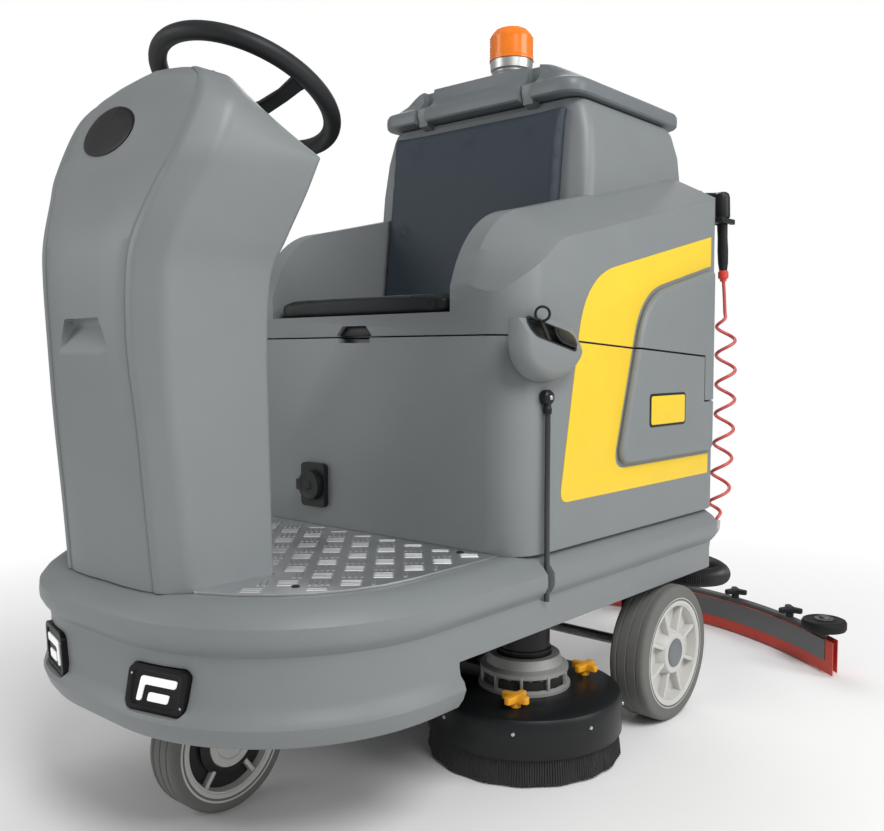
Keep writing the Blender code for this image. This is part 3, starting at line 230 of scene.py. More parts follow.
body_plastic = moulded("body_plastic", GREY)
lid_plastic = moulded("lid_plastic", (0.15, 0.168, 0.177), 0.42)
yellow_plastic = moulded("yellow_plastic", (0.86, 0.585, 0.028), 0.38, dust=0.03)
black_plastic = moulded("black_plastic", (0.010, 0.011, 0.012), 0.40, dust=0.02, gloss=0.32)
grip_plastic = moulded("grip_plastic", (0.014, 0.016, 0.018), 0.5, 500.0, 0.0005, 0.02, 0.35)
black_coat = coated("black_coat", (0.012, 0.0125, 0.013))
grey_coat = coated("grey_coat", (0.075, 0.082, 0.084))
galvanised = metal("galvanised", (0.20, 0.205, 0.205), 0.45, 300.0)
cast_alloy = coated("cast_alloy", (0.36, 0.36, 0.35), 0.5, 0.4)
bright_steel = metal("bright_steel", (0.66, 0.66, 0.65))
tread_alloy = metal("tread_alloy", (0.78, 0.79, 0.80), 0.3)
tyre_rubber = rubber("tyre_rubber", (0.15, 0.15, 0.142))
black_rubber = rubber("black_rubber", (0.011, 0.011, 0.012), 0.6)
red_rubber = rubber("red_rubber", (0.60, 0.075, 0.050), 0.45)
rim_plastic = moulded("rim_plastic", (0.56, 0.555, 0.53), 0.4)
knob_plastic = glossy("knob_plastic", (0.93, 0.42, 0.02), 0.32)
red_plastic = glossy("red_plastic", (0.68, 0.06, 0.04), 0.25)
hose_red = glossy("hose_red", (0.62, 0.10, 0.085), 0.25)
hose_black = glossy("hose_black", (0.02, 0.02, 0.022), 0.38)
seat_vinyl = vinyl("seat_vinyl", (0.008, 0.010, 0.011), 0.42)
back_vinyl = vinyl("back_vinyl", (0.034, 0.046, 0.060), 0.46)
beacon_amber = glossy("beacon_amber", (0.95, 0.22, 0.010), 0.16, Coat_Weight=0.3)
clear_plastic = glossy("clear_plastic", (0.035, 0.038, 0.040), 0.14)
lamp_white = glossy("lamp_white", (0.92, 0.92, 0.92), 0.2, Emission_Color=(1, 1, 1, 1),
                    Emission_Strength=0.25)
lamp_black = glossy("lamp_black", (0.006, 0.006, 0.007), 0.35, Specular_IOR_Level=0.2)
bristle_black = bristles("bristle_black")
SLOTS = {
    body_plastic: "body_grey", lid_plastic: "lid_grey", yellow_plastic: "knob_yellow",
    black_plastic: "black_plastic", grip_plastic: "black_plastic", black_coat: "black_steel",
    grey_coat: "squeegee_grey", galvanised: "squeegee_grey", cast_alloy: "squeegee_grey",
    bright_steel: "bright_steel", tread_alloy: "tread_plate", tyre_rubber: "grey_tyre",
    black_rubber: "black_rubber", red_rubber: "blade_red", rim_plastic: "wheel_centre",
    knob_plastic: "knob_yellow", red_plastic: "stop_red", hose_red: "hose_red", hose_black: "hose_black",
    seat_vinyl: "seat_black", back_vinyl: "backrest_slate", beacon_amber: "beacon_orange",
    clear_plastic: "clear_tube", lamp_white: "black_plastic", lamp_black: "black_plastic",
    bristle_black: "bristle_black",
}
CARRIED = {
    "chassis_frame": black_coat, "rear_axle": bright_steel, "steering_shaft": bright_steel,
    "tank_hinge_pin": bright_steel, "lid_pin": bright_steel, "battery_pack": black_plastic,
    "gun_trigger": black_plastic, "filler_cap": black_plastic, "charge_socket": black_plastic,
}


# ---------------------------------------------------------------- modelling helpers
def mm(text):
    """Points written in millimetres, such as "12 0, 12 30", as tuples in metres."""
    return [tuple(round(float(number) / 1000, 7) for number in point.split()) for point in text.split(",")]


shift = Matrix.Translation


def turned(angle, axis):
    return Matrix.Rotation(angle, 4, axis)


def arc(cx, cy, radius, start, end, steps):
    spread = [radians(start + (end - start) * i / steps) for i in range(steps + 1)]
    return [(cx + radius * cos(a), cy + radius * sin(a)) for a in spread]


def rounded(x0, x1, y0, y1, radius, steps=8):
    corners = [(x1 - radius, y0 + radius, -90), (x1 - radius, y1 - radius, 0)]
    corners += [(x0 + radius, y1 - radius, 90), (x0 + radius, y0 + radius, 180)]
    return [p for cx, cy, a in corners for p in arc(cx, cy, radius, a, a + 90, steps)]


def filleted(points, radius, steps=5):
    """A closed outline with each corner rounded, by its own third number where it has one."""
    out = []
    for i, p in enumerate(points):
        corner = Vector(p[:2])
        before = Vector(points[i - 1][:2]) - corner
        after = Vector(points[(i + 1) % len(points)][:2]) - corner
        wanted = p[2] if len(p) > 2 else radius
        reach = min(wanted, before.length * 0.45, after.length * 0.45)
        a, b = corner + before.normalized() * reach, corner + after.normalized() * reach
        fine = steps if wanted < 0.02 else 16
        for k in range(fine + 1):
            t = k / fine
            out.append(tuple(a * (1 - t) ** 2 + corner * 2 * t * (1 - t) + b * t**2))
    return out


def spline(points, count):
    """Points on a smooth curve through the given ones, evenly spread."""
    pts = [Vector(p) for p in points]
    pts = [2 * pts[0] - pts[1]] + pts + [2 * pts[-1] - pts[-2]]
    fine = []
    for a, b, c, d in zip(pts, pts[1:], pts[2:], pts[3:]):
        for i in range(60):
            t = i / 60
            bend = (2 * a - 5 * b + 4 * c - d) * t**2 + (3 * b - a - 3 * c + d) * t**3
            fine.append(0.5 * (2 * b + (c - a) * t + bend))
    fine.append(pts[-2])
    runs = [0.0]
    for a, b in zip(fine, fine[1:]):
        runs.append(runs[-1] + (b - a).length)
    out, k = [], 0
    for i in range(count + 1):
        want = runs[-1] * i / count
        while k < len(fine) - 2 and runs[k + 1] < want:
            k += 1
        share = (want - runs[k]) / max(runs[k + 1] - runs[k], 1e-9)
        out.append(fine[k].lerp(fine[k + 1], share))
    return out


def alone(obj):
    bpy.ops.object.select_all(action="DESELECT")
    obj.select_set(True)
    bpy.context.view_layer.objects.active = obj
    return obj


def fresh():
    bpy.ops.object.select_all(action="DESELECT")


def made(mesh_edit):
    """A mesh object filled in by mesh_edit."""
    bm = bmesh.new()
    mesh_edit(bm)
    bmesh.ops.recalc_face_normals(bm, faces=bm.faces)
    mesh = bpy.data.meshes.new("piece")
    bm.to_mesh(mesh)
    bm.free()
    obj = bpy.data.objects.new("piece", mesh)
    scene.collection.objects.link(obj)
    return obj


def loft(rings):
    """A skin over rings of equally many points."""

    def edit(bm):
        rows = [[bm.verts.new(p) for p in ring] for ring in rings]
        count = len(rows[0])
        for low, high in zip(rows, rows[1:]):
            for i in range(count):
                j = (i + 1) % count
                bm.faces.new((low[i], low[j], high[j], high[i]))
        bm.faces.new(list(reversed(rows[0])))
        bm.faces.new(rows[-1])

    return made(edit)


def slab(outline, low, high, axis="Z"):
    place = {
        "X": lambda a, b, h: (h, a, b),
        "Y": lambda a, b, h: (a, h, b),
        "Z": lambda a, b, h: (a, b, h),
    }[axis]
    return loft([[place(a, b, h) for a, b in outline] for h in (low, high)])


def block(low, high, edge=0.002, segments=3):
    """A box with rounded edges."""
    fresh()
    middle = [(a + b) / 2 for a, b in zip(low, high)]
    bpy.ops.mesh.primitive_cube_add(size=1.0, location=middle, scale=[b - a for a, b in zip(low, high)])
    obj = bpy.context.object
    bpy.ops.object.transform_apply(location=True, rotation=True, scale=True)
    return soften(obj, edge, segments) if edge else obj


def lathe(profile, centre, axis="Z", steps=64, turn=None):
    """A profile of (radius, height) points spun round an axis."""
    fresh()
    mesh = bpy.data.meshes.new("piece")
    mesh.from_pydata([(r, 0, h) for r, h in profile], [(i, i + 1) for i in range(len(profile) - 1)], [])
    obj = bpy.data.objects.new("piece", mesh)
    scene.collection.objects.link(obj)
    alone(obj)
    bpy.ops.object.mode_set(mode="EDIT")
    bpy.ops.mesh.select_all(action="SELECT")
    bpy.ops.mesh.spin(steps=steps, angle=2 * pi, center=(0, 0, 0), axis=(0, 0, 1))
    bpy.ops.mesh.select_all(action="SELECT")
    bpy.ops.mesh.remove_doubles(threshold=0.00002)
    bpy.ops.mesh.normals_make_consistent(inside=False)
    bpy.ops.object.mode_set(mode="OBJECT")
    turns = {"X": turned(pi / 2, "Y"), "Y": turned(-pi / 2, "X"), "Z": Matrix()}
    obj.data.transform(shift(centre) @ (turns[axis] if turn is None else turn))
    return smooth(obj)


def tube(path, radius, sides=12, swell=None):
    """A round tube along a path; swell gives each ring's own radius."""
    rings, side = [], Vector((0, 0, 1))
    for i, p in enumerate(path):
        along = (path[min(i + 1, len(path) - 1)] - path[max(i - 1, 0)]).normalized()
        if abs(side.dot(along)) < 0.999:
            side = (side - along * side.dot(along)).normalized()
        else:
            side = along.orthogonal().normalized()
        other = along.cross(side)
        r = swell(i) if swell else radius
        angles = [2 * pi * k / sides for k in range(sides)]
        rings.append([p + side * (r * cos(a)) + other * (r * sin(a)) for a in angles])
    return smooth(loft(rings), 50)


def smooth(obj, angle=32):
    alone(obj)
    bpy.ops.object.shade_smooth_by_angle(angle=radians(angle))
    return obj


def modified(obj, kind, **settings):
    modifier = obj.modifiers.new(kind.title(), kind)
    for setting, value in settings.items():
        setattr(modifier, setting, value)
    alone(obj)
    bpy.ops.object.modifier_apply(modifier=modifier.name)
    return obj


def soften(obj, width, segments=3, angle=30):
    modified(obj, "BEVEL", width=width, segments=segments, limit_method="ANGLE", angle_limit=radians(angle))
    return smooth(obj)


def carve(obj, *tools, operation="DIFFERENCE"):
    for tool in tools:
        modified(obj, "BOOLEAN", operation=operation, object=tool)
        bpy.data.objects.remove(tool, do_unlink=True)
    return obj


def joined(obj, *others):
    for other in others:
        obj.data.materials.clear()
        other.data.materials.clear()
    fresh()
    for other in others:
        other.select_set(True)
    obj.select_set(True)
    bpy.context.view_layer.objects.active = obj
    if others:
        bpy.ops.object.join()
    return obj


def moved(obj, matrix):
    obj.data.transform(matrix)
    return obj


def fitted(obj, name, body, finish, *nodes):
    """Names and finishes a piece that rides on a body in place of CAD nodes; of a pair, only the finish is
    used.
    """
    finish, slot = finish if isinstance(finish, tuple) else (finish, SLOTS[finish])
    obj.name = name
    obj.data.name = name
    obj.data.materials.clear()
    obj.data.materials.append(finish)
    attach(obj, body)
    if nodes:
        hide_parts(*nodes)
    return obj


def refined(node, width=0.002, segments=2, angle=30):
    """A copy of a carried node with its loose triangles merged and its edges rounded."""
    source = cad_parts[node]
    obj = bpy.data.objects.new(node + "_finished", source.data.copy())
    obj.data.transform(source.matrix_world)
    scene.collection.objects.link(obj)
    alone(obj)
    bpy.ops.object.mode_set(mode="EDIT")
    bpy.ops.mesh.select_all(action="SELECT")
    bpy.ops.mesh.remove_doubles(threshold=0.00002)
    bpy.ops.mesh.dissolve_limited(angle_limit=radians(1.0))
    bpy.ops.object.mode_set(mode="OBJECT")
    return soften(obj, width, segments, angle) if width else smooth(obj)


def finely(node, name, body, finish, width, segments, angle=30):
    """The carried node itself, refined and finished."""
    return fitted(refined(node, width, segments, angle), name, body, finish, node)


def mirrored(side, low, high):
    return (low, high) if side > 0 else (-high, -low)


def raised(base, text):
    """A profile whose heights, in millimetres, count from base."""
    return [(radius, base + height) for radius, height in mm(text)]


def middle_of(node):
    """The middle of a carried node, on the floor."""
    low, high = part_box(node)
    return Vector(((low.x + high.x) / 2, (low.y + high.y) / 2, 0))


def screw_head(centre, normal, radius=0.006):
    """A domed screw head, facing along normal."""
    turn = Vector(normal).to_track_quat("Z", "Y").to_matrix().to_4x4()
    profile = [(0, 0), (radius, 0), (radius, 0.0008), (radius * 0.8, 0.0022), (radius * 0.35, 0.0028),
               (0, 0.0029)]
    return lathe(profile, centre, steps=20, turn=turn)


# ---------------------------------------------------------------- camera, light and floor
EYE, LOOK_DOWN, LOOK_LEFT, LENS = (1.3762, -0.98245, 0.804), 3.622, 40.9, 38.28
MACHINE_MIDDLE = Vector((0, 0.6, 0.6))


def paper_floor():
    """White paper that keeps the shadow near the machine and runs out into plain white."""
    paper = Finish("floor_paper", 0.9, Specular_IOR_Level=0.1)
    paper.colour(paper.mixed(paper.noise(3.0), (0.93, 0.93, 0.93), (0.96, 0.96, 0.96)))
    reach = paper.node("VectorMath", {"operation": "LENGTH"}, Vector=paper.place)
    far = paper.ramp(Level(paper.tree, reach.outputs["Value"]), 0.9, 2.3)
    seen = Level(paper.tree, paper.node("LightPath").outputs["Is Camera Ray"])
    glow = paper.node("Emission", Color=(1, 1, 1, 1), Strength=1.0)
    mix = paper.node("MixShader", Fac=far * seen)
    paper.tree.links.new(paper.surface.outputs[0], mix.inputs[1])
    paper.tree.links.new(glow.outputs[0], mix.inputs[2])
    paper.tree.links.new(mix.outputs[0], paper.tree.nodes["Material Output"].inputs["Surface"])
    return paper.material


def set_the_stage():
    camera = bpy.data.objects.new("camera", bpy.data.cameras.new("camera"))
    camera.location = EYE
    camera.rotation_euler = (radians(90 - LOOK_DOWN), 0, radians(LOOK_LEFT))
    camera.data.sensor_width = 36.0
    camera.data.lens = LENS
    camera.data.clip_start = 0.01
    scene.collection.objects.link(camera)
    scene.camera = camera
    scene.view_settings.view_transform = "Standard"
    for name, place, size, power in (
        ("key", (3.1, -0.9, 3.9), 2.0, 120.0), ("side", (3.6, 1.8, 2.2), 2.2, 46.0),
        ("fill", (-2.6, -3.0, 1.9), 2.6, 40.0), ("back", (-1.6, 3.2, 3.0), 2.4, 34.0),
    ):
        lamp = bpy.data.objects.new(name, bpy.data.lights.new(name, "AREA"))
        lamp.data.shape = "DISK"
        lamp.data.size = size
        lamp.data.energy = power
        lamp.location = place
        lamp.rotation_euler = (MACHINE_MIDDLE - Vector(place)).to_track_quat("-Z", "Y").to_euler()
        scene.collection.objects.link(lamp)
    world = bpy.data.worlds.new("studio")
    scene.world = world
    world.use_nodes = True
    nodes, links = world.node_tree.nodes, world.node_tree.links
    light = nodes["Background"]
    light.inputs["Color"].default_value = (1, 1, 1, 1)
    light.inputs["Strength"].default_value = 0.36
    shown = nodes.new("ShaderNodeBackground")
    shown.inputs["Color"].default_value = (1, 1, 1, 1)
    ray = nodes.new("ShaderNodeLightPath")
    mix = nodes.new("ShaderNodeMixShader")
    links.new(ray.outputs["Is Camera Ray"], mix.inputs[0])
    links.new(light.outputs[0], mix.inputs[1])
    links.new(shown.outputs[0], mix.inputs[2])
    links.new(mix.outputs[0], nodes["World Output"].inputs["Surface"])
    fresh()
    bpy.ops.mesh.primitive_plane_add(size=14.0, location=(0, 0.7, -0.0005))
    floor = bpy.context.object
    floor.name = "floor"
    floor.data.materials.append(paper_floor())


# ---------------------------------------------------------------- hoses
PORT_Y = 1.667
SUCTION_ROUTE = [
    (0.200, 1.070, 0.330), (0.200, 1.070, 0.305), (0.212, 1.088, 0.268), (0.262, 1.140, 0.250),
    (0.330, 1.205, 0.246), (0.352, 1.290, 0.240), (0.305, 1.375, 0.236), (0.205, 1.440, 0.240),
    (0.105, 1.510, 0.255), (0.035, 1.590, 0.275), (0.006, 1.648, 0.266),
    (0.000, PORT_Y, 0.236), (0.000, PORT_Y, 0.212), (0.000, PORT_Y, 0.1853),
]
GUN_X, GUN_Y = 0.380, 1.205
LEAN, SWIVEL_DROP = 0.014, 0.165
COIL_TURNS, COIL_RADIUS, COIL_LOW, COIL_HIGH = 7, 0.0225, 0.400, 0.9865
STRAIGHT, HANG = 0.13, 0.030


def route_length(path):
    return sum((b - a).length for a, b in zip(path, path[1:]))


def hang_suction_hose():
    """A ribbed suction hose from the body's underside to the squeegee's port."""
    path = spline(SUCTION_ROUTE, 760)
    ribs = lambda i: 0.0215 + 0.0025 * (0.5 + 0.5 * cos(2 * pi * i / 4))
    hose = tube(path, 0.024, 20, ribs)
    fitted(hose, "suction_hose_ribbed", "chassis", hose_black)
    hose.parent = None
    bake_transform(hose)
    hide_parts("suction_hose")
    route_length(path)


def coil_point(t):
    """A point on the curly hose, t from 0 at the bottom to 1 at the gun; it hangs out to the rear."""
    wound = min(1.0, t / (1 - STRAIGHT))
    a = 2 * pi * COIL_TURNS * wound
    ease = max(0.0, min(1.0, wound / 0.06, (1 - wound) / 0.08))
    reach = COIL_RADIUS * (0.5 - 0.5 * cos(pi * ease))
    bow = HANG * sin(pi * t) ** 0.8 + LEAN * t
    return Vector((GUN_X + reach * cos(a), GUN_Y + bow + reach * sin(a),
                   COIL_LOW + (COIL_HIGH - COIL_LOW) * t))


def hang_recoil_hose():
    path = [coil_point(i / 560) for i in range(561)]
    hose = tube(path, 0.0042, 10)
    fitted(hose, "recoil_hose_coiled", "chassis", hose_red)
    hose.parent = None
    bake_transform(hose)
    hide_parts("recoil_hose")
    route_length(path)


# ---------------------------------------------------------------- base
HALF_WIDTH, NOSE_Y, NOSE_RADIUS, TAIL_Y = 0.430, -0.250, 0.360, 1.150


def base_outline(inset, steps=22):
    half, radius, tail = HALF_WIDTH - inset, NOSE_RADIUS - inset, max(0.06 - inset, 0.01)
    nose, rear = NOSE_Y + inset + radius, TAIL_Y - inset - tail
    return (
        arc(half - radius, nose, radius, -90, 0, steps) + arc(half - tail, rear, tail, 0, 90, 8)
        + arc(-half + tail, rear, tail, 90, 180, 8) + arc(-half + radius, nose, radius, 180, 270, steps)
    )


def lamp_place(side):
    radius = NOSE_RADIUS - 0.018
    angle = asin((0.155 - HALF_WIDTH + NOSE_RADIUS) / radius)
    y = NOSE_Y + NOSE_RADIUS - radius * cos(angle)
    return shift((side * 0.155, y, 0.307)) @ turned(side * angle, "Z")


def lamp_face(side, grow):
    points = mm("-64 -27, -54 -36, 40 -36, 50 -28, 62 27, 53 36, -42 36, -53 28")
    points = [(side * (a + copysign(grow, a)), b + copysign(grow, b)) for a, b in points]
    return filleted(points, 0.012)


def mould_base():
    levels = mm(
        "225.2 34, 229 21, 245 10, 262 4, 274 8, 283 16, 296 18.5, 350 18.5, 366 16.5, 378 6, 388 0.5, "
        "400 0, 412 1, 426 12, 438 28, 444.7 42, 444.9 50")
    shell = loft([[(x, y, z) for x, y in base_outline(i)] for z, i in levels])
    hollow = slab(base_outline(0.030), 0.1, 0.400)
    step = block((-1, 0.175, 0.1), (1, 2, 0.305), 0)
    slot = slab(filleted(mm("401 360, 423 360, 423 600, 401 600"), 0.009), 0.409, 0.5, "X")
    pockets = [moved(slab(lamp_face(side, 0.0015), -0.05, 0.020, "Y"), lamp_place(side))
               for side in (1, -1)]
    carve(shell, hollow, step, slot, *pockets)
    x, y = SUCTION_ROUTE[0][:2]
    outlet = lathe(mm("0 330, 26 330, 26 350, 30 360, 30 410, 0 410"), (x, y, 0))
    bend = [(GUN_X, 1.125, 0.372), (GUN_X, 1.18, 0.372), (GUN_X, 1.2, 0.379), (GUN_X, GUN_Y, 0.3995)]
    pipe = tube(spline(bend, 24), 0.0095, 20)
    soften(shell, 0.003, 3, 40)
    fitted(shell, "base_moulding", "chassis", body_plastic, "base_shell")
    fitted(outlet, "suction_outlet", "chassis", black_plastic)
    fitted(pipe, "hose_fitting", "chassis", bright_steel)


def fit_lamps():
    """Black housings with a bent light bar over a straight one, and two small screws."""
    for side, word in ((1, "left"), (-1, "right")):
        place = lamp_place(side)
        housing = slab(lamp_face(side, 0.0), -0.004, 0.018, "Y")
        well = slab(filleted([(side * a, b) for a, b in mm("-52 -27, 39 -27, 50 27, -42 27")], 0.009),
                    -0.03, -0.0015, "Y")
        carve(housing, well)
        soften(housing, 0.0015, 3)
        fitted(moved(housing, place), "lamp_housing_" + word, "chassis", lamp_black, "lamp_housing_" + word)
        upper = filleted([(side * a, b) for a, b in mm("-41 -21, -31 -21, -22 6, 38 6, 42 19, -28 19")],
                         0.005)
        lower = filleted([(side * a, b) for a, b in mm("-19 -19, 21 -19, 26 -5, -14 -5")], 0.004)
        for name, outline in (("upper", upper), ("lower", lower)):
            bar = soften(slab(outline, -0.0045, -0.0012, "Y"), 0.0012, 3)
            fitted(moved(bar, place), f"light_bar_{name}_{word}", "chassis", lamp_white)
        for n, (a, b) in enumerate(((-0.047, 0.020), (0.046, -0.021))):
            head = moved(screw_head((side * a, -0.0016, b), (0, -1, 0), 0.0028), place)
            fitted(head, f"lamp_screw_{word}_{n + 1}", "chassis", bright_steel)


def lay_footplate():
    """Tread plate: short raised bars that alternate in direction."""
    plate = refined("footplate", 0.001, 2)
    fitted(plate, "footplate_sheet", "chassis", tread_alloy, "footplate")
    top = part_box("lower_tank")[0].z + 0.0037
    front = 0.328

    def edit(bm):
        def on_sheet(x, y):
            nose = NOSE_Y + NOSE_RADIUS
            reach = hypot(max(abs(x) - 0.07, 0), min(y - nose, 0))
            column = abs(x) < 0.193 and -0.235 < y < 0.0
            pedal = -0.332 < x < -0.218 and -0.142 < y < 0.072
            return abs(x) < 0.362 and y < front - 0.005 and reach < 0.296 and not column and not pedal

        slant, pitch, long, wide = radians(43), 0.0495, 0.0185, 0.0038
        for i in range(-16, 17):
            for j in range(-16, 17):
                turn = slant + (0.0 if (i + j) % 2 else pi / 2)
                x = (i * cos(slant) - j * sin(slant)) * pitch
                y = (i * sin(slant) + j * cos(slant)) * pitch
                for across in (-0.0144, -0.0048, 0.0048, 0.0144):
                    rows = []
                    for share, lift in ((1.0, 0.0), (0.62, 0.0016)):
                        rows.append([])
                        for a, b in ((-1, 0), (-0.86, -1), (0.86, -1), (1, 0), (0.86, 1), (-0.86, 1)):
                            u, v = a * (long - 0.002 * (share < 1)), across + b * wide * share
                            rows[-1].append((x + u * cos(turn) - v * sin(turn),
                                             y + u * sin(turn) + v * cos(turn), top + lift))
                    if not all(on_sheet(p[0], p[1]) for p in rows[0]):
                        continue
                    ring, crest = [[bm.verts.new(p) for p in row] for row in rows]
                    for n in range(6):
                        bm.faces.new((ring[n], ring[(n + 1) % 6], crest[(n + 1) % 6], crest[n]))
                    bm.faces.new(crest)
                    bm.faces.new(list(reversed(ring)))

    bars = smooth(made(edit), 20)
    fitted(bars, "tread_bars", "chassis", tread_alloy)
    for n, (x, y) in enumerate(mm("270 -50, 300 310, -270 -90, -300 310")):
        fitted(screw_head((x, y, top), (0, 0, 1), 0.007), f"footplate_screw_{n + 1}", "chassis",
               black_plastic)


# ---------------------------------------------------------------- column
COLUMN = mm(
    "445.5 138 -206 173 -170 178 -15, 560 136 -215 170 -180 175 -15, 700 135 -227 167 -195 172 -15, "
    "820 129 -237 166 -203 170 -15, 930 135 -239 174 -203 178 -12, 990 147 -231 189 -192 200 2, "
    "1060 168 -207 210 -163 222 25, 1110 186 -187 222 -143 232 42")
HEAD = ("0 -174 1192, 187 -152 1188, 221 -119 1172, 231 47 1118, 0 47 1118",
        "0 -150 1236, 165 -130 1226, 204 -98 1204, 225.5 47 1121, 0 47 1121")
DASH_TOP, DASH_SLOPE = (-0.100, 1.265), -1.038
WHEEL_TILT = radians(25.5)
STEER_HUB = Vector((0.0, 0.075, 1.267))
STEER_TURN = turned(-WHEEL_TILT, "X")


def dash_z(y):
    return DASH_TOP[1] + DASH_SLOPE * (y - DASH_TOP[0])


def column_section(keys):
    """A section from its key points: a crowned front, rounded corners and a flat rear."""
    centre, corner, edge, rear, back = keys
    half = [centre]
    for share in (0.35, 0.7):
        half.append(centre.lerp(corner, share) + Vector((0, -0.004 * sin(pi * share), 0)))
    run = (corner - centre).normalized()
    for reach, sink in mm("19 0, 16.5 2.2, 14 2.2, 11.5 0"):
        half.append(corner - run * reach + Vector((0, sink, 0)))
    chain = [half[-1], corner, edge, rear, back]
    for a, p, b, radius in zip(chain, chain[1:], chain[2:], (0.007, 0.012, 0.010)):
        before, after = a - p, b - p
        u = p + before.normalized() * min(radius, before.length * 0.45)
        v = p + after.normalized() * min(radius, after.length * 0.45)
        half += [u * (1 - t) ** 2 + p * 2 * t * (1 - t) + v * t * t for t in (0, 0.25, 0.5, 0.75, 1)]
    half.append(back)
    return half + [Vector((-p.x, p.y, p.z)) for p in reversed(half[1:-1])]


def mould_column():
    rows = []
    for z, half, front, edge_half, edge, rear_half, rear in COLUMN:
        rows.append([Vector(p) for p in (
            (0, front - 0.006, z), (half, front, z), (edge_half, edge, z), (rear_half, rear, z),
            (0, rear, z))])
    for head in HEAD:
        rows.append([Vector(p) for p in mm(head)])
    top = mm("0 -106 4, 105 -101 10, 166 -82 13, 205 36 0, 0 36 0")
    rows.append([Vector((x, y, dash_z(y) - drop)) for x, y, drop in top])
    finer = []
    ghost = [[2 * a - b for a, b in zip(rows[0], rows[1])]] + rows
    ghost += [[2 * a - b for a, b in zip(rows[-1], rows[-2])]]
    for a, b, c, d in zip(ghost, ghost[1:], ghost[2:], ghost[3:]):
        for k in range(7):
            t = k / 7
            finer.append([
                0.5 * (2 * q + (r - p) * t + (2 * p - 5 * q + 4 * r - s) * t**2
                       + (3 * q - p - 3 * r + s) * t**3)
                for p, q, r, s in zip(a, b, c, d)])
    finer.append(rows[-1])
    column = loft([column_section(keys) for keys in finer])
    notch = slab(mm("-300 862.5, -228 862, -223.5 852, -246.5 806, -300 806"), -0.062, 0.062, "X")
    for v in notch.data.vertices:
        v.co.x *= 1.25 if v.co.z < 0.83 else 0.85
    carve(column, soften(notch, 0.006, 4))
    smooth(column, 34)
    fitted(column, "column_moulding", "chassis", body_plastic, "front_column")
    slope = atan(DASH_SLOPE)
    turn = turned(slope, "X")
    middle = Vector((0, -0.036, dash_z(-0.036)))
    dash = block((-0.125, -0.070, -0.006), (0.125, 0.070, 0.0046), 0.004)
    dash = moved(dash, shift(middle) @ turn)
    fitted(dash, "dash_panel", "chassis", black_plastic)
    screen = block((-0.040, -0.048, 0.0045), (0.040, -0.012, 0.0056), 0.0006)
    fitted(moved(screen, shift(middle) @ turn), "dash_screen", "chassis", lamp_black)
    for n in range(4):
        x = -0.036 + 0.024 * n
        key = block((x - 0.008, 0.030, 0.0045), (x + 0.008, 0.044, 0.0072), 0.0012)
        fitted(moved(key, shift(middle) @ turn), f"dash_button_{n + 1}", "chassis",
               (lid_plastic, "body_grey"))
    lay_badge(column)


def lay_badge(column):
    """A bare black oval, pressed onto the crowned front of the head."""
    column_skin = BVHTree.FromObject(column, bpy.context.evaluated_depsgraph_get())

    def pressed(share, lift):
        ring = []
        for a in [2 * pi * i / 72 for i in range(72)]:
            x, z = 0.077 * share * cos(a) - 0.023, 1.160 + 0.039 * share * sin(a)
            spot, normal = column_skin.ray_cast(Vector((x, -0.6, z)), Vector((0, 1, 0)))[:2]
            ring.append(spot + normal * lift)
        return ring

    rings = [pressed(share, lift) for share, lift in (
        (0.05, -0.004), (1.0, -0.004), (1.0, 0.0010), (0.985, 0.0016), (0.90, 0.0018), (0.5, 0.0018),
        (0.05, 0.0018))]
    fitted(smooth(loft(rings), 40), "column_oval", "chassis", lamp_black)


def fit_steering():
    """A thick-rimmed wheel with flat spokes, a capped hub and a boot at its foot."""
    fresh()
    bpy.ops.mesh.primitive_torus_add(major_radius=0.160, minor_radius=0.0158, major_segments=96,
                                     minor_segments=24)
    rim = smooth(bpy.context.object, 60)
    spokes = []
    for side in (1, -1):
        rings = []
        for reach, rise, wide, thick in mm(
            "20 -46 17 7, 70 -43 13.5 6, 115 -26 12.5 6, 140 -9 14 7, 156 -1 16 8"):
            outline = rounded(-wide, wide, rise - thick, rise + thick, thick * 0.6, 4)
            rings.append([(side * reach, a, b) for a, b in outline])
        spokes.append(smooth(loft(rings), 50))
    hub = lathe(mm("0 -60, 30 -60, 36 -53, 37 -40, 31 -33, 18 -30, 0 -29.5"), (0, 0, 0))
    wheel = joined(rim, hub, *spokes)
    place = shift(STEER_HUB) @ STEER_TURN
    fitted(moved(wheel, place), "steering_wheel_grip", "steering", grip_plastic, "steering_wheel")
    for side, word in ((1, "left"), (-1, "right")):
        for n, reach in enumerate((0.055, 0.066)):
            head = moved(screw_head((side * reach, 0, -0.0378), (0, 0, 1), 0.0045), place)
            fitted(head, f"spoke_screw_{word}_{n + 1}", "steering", bright_steel)
    pleats = (0.040, 0.043, 0.036, 0.039, 0.032, 0.035, 0.028, 0.031, 0.024, 0.026, 0.020)
    folds = [(0.0145, -0.145)] + [(r, -0.145 + 0.075 * k / 10) for k, r in enumerate(pleats)]
    folds += [(0.0145, -0.068), (0.0145, -0.145)]
    fitted(moved(lathe(folds, (0, 0, 0)), place), "steering_boot", "chassis", black_rubber)
    finely("key_switch", "ignition_key", "key", bright_steel, 0.0006, 2)
    turn = turned(atan(DASH_SLOPE), "X")
    button = mm("0 -6, 9.8 -6, 9.8 9, 16.5 10, 17.8 14, 17 19, 12 23.2, 0 24")
    centre = Vector((0.085, -0.038, dash_z(-0.038))) + turn @ Vector((0, 0.020, 0.0096))
    fitted(lathe(button, centre, steps=48, turn=turn), "stop_mushroom", "stop_button", red_plastic,
        "emergency_stop")
    finely("accelerator_pedal", "pedal_pad", "pedal", black_rubber, 0.0015, 2)


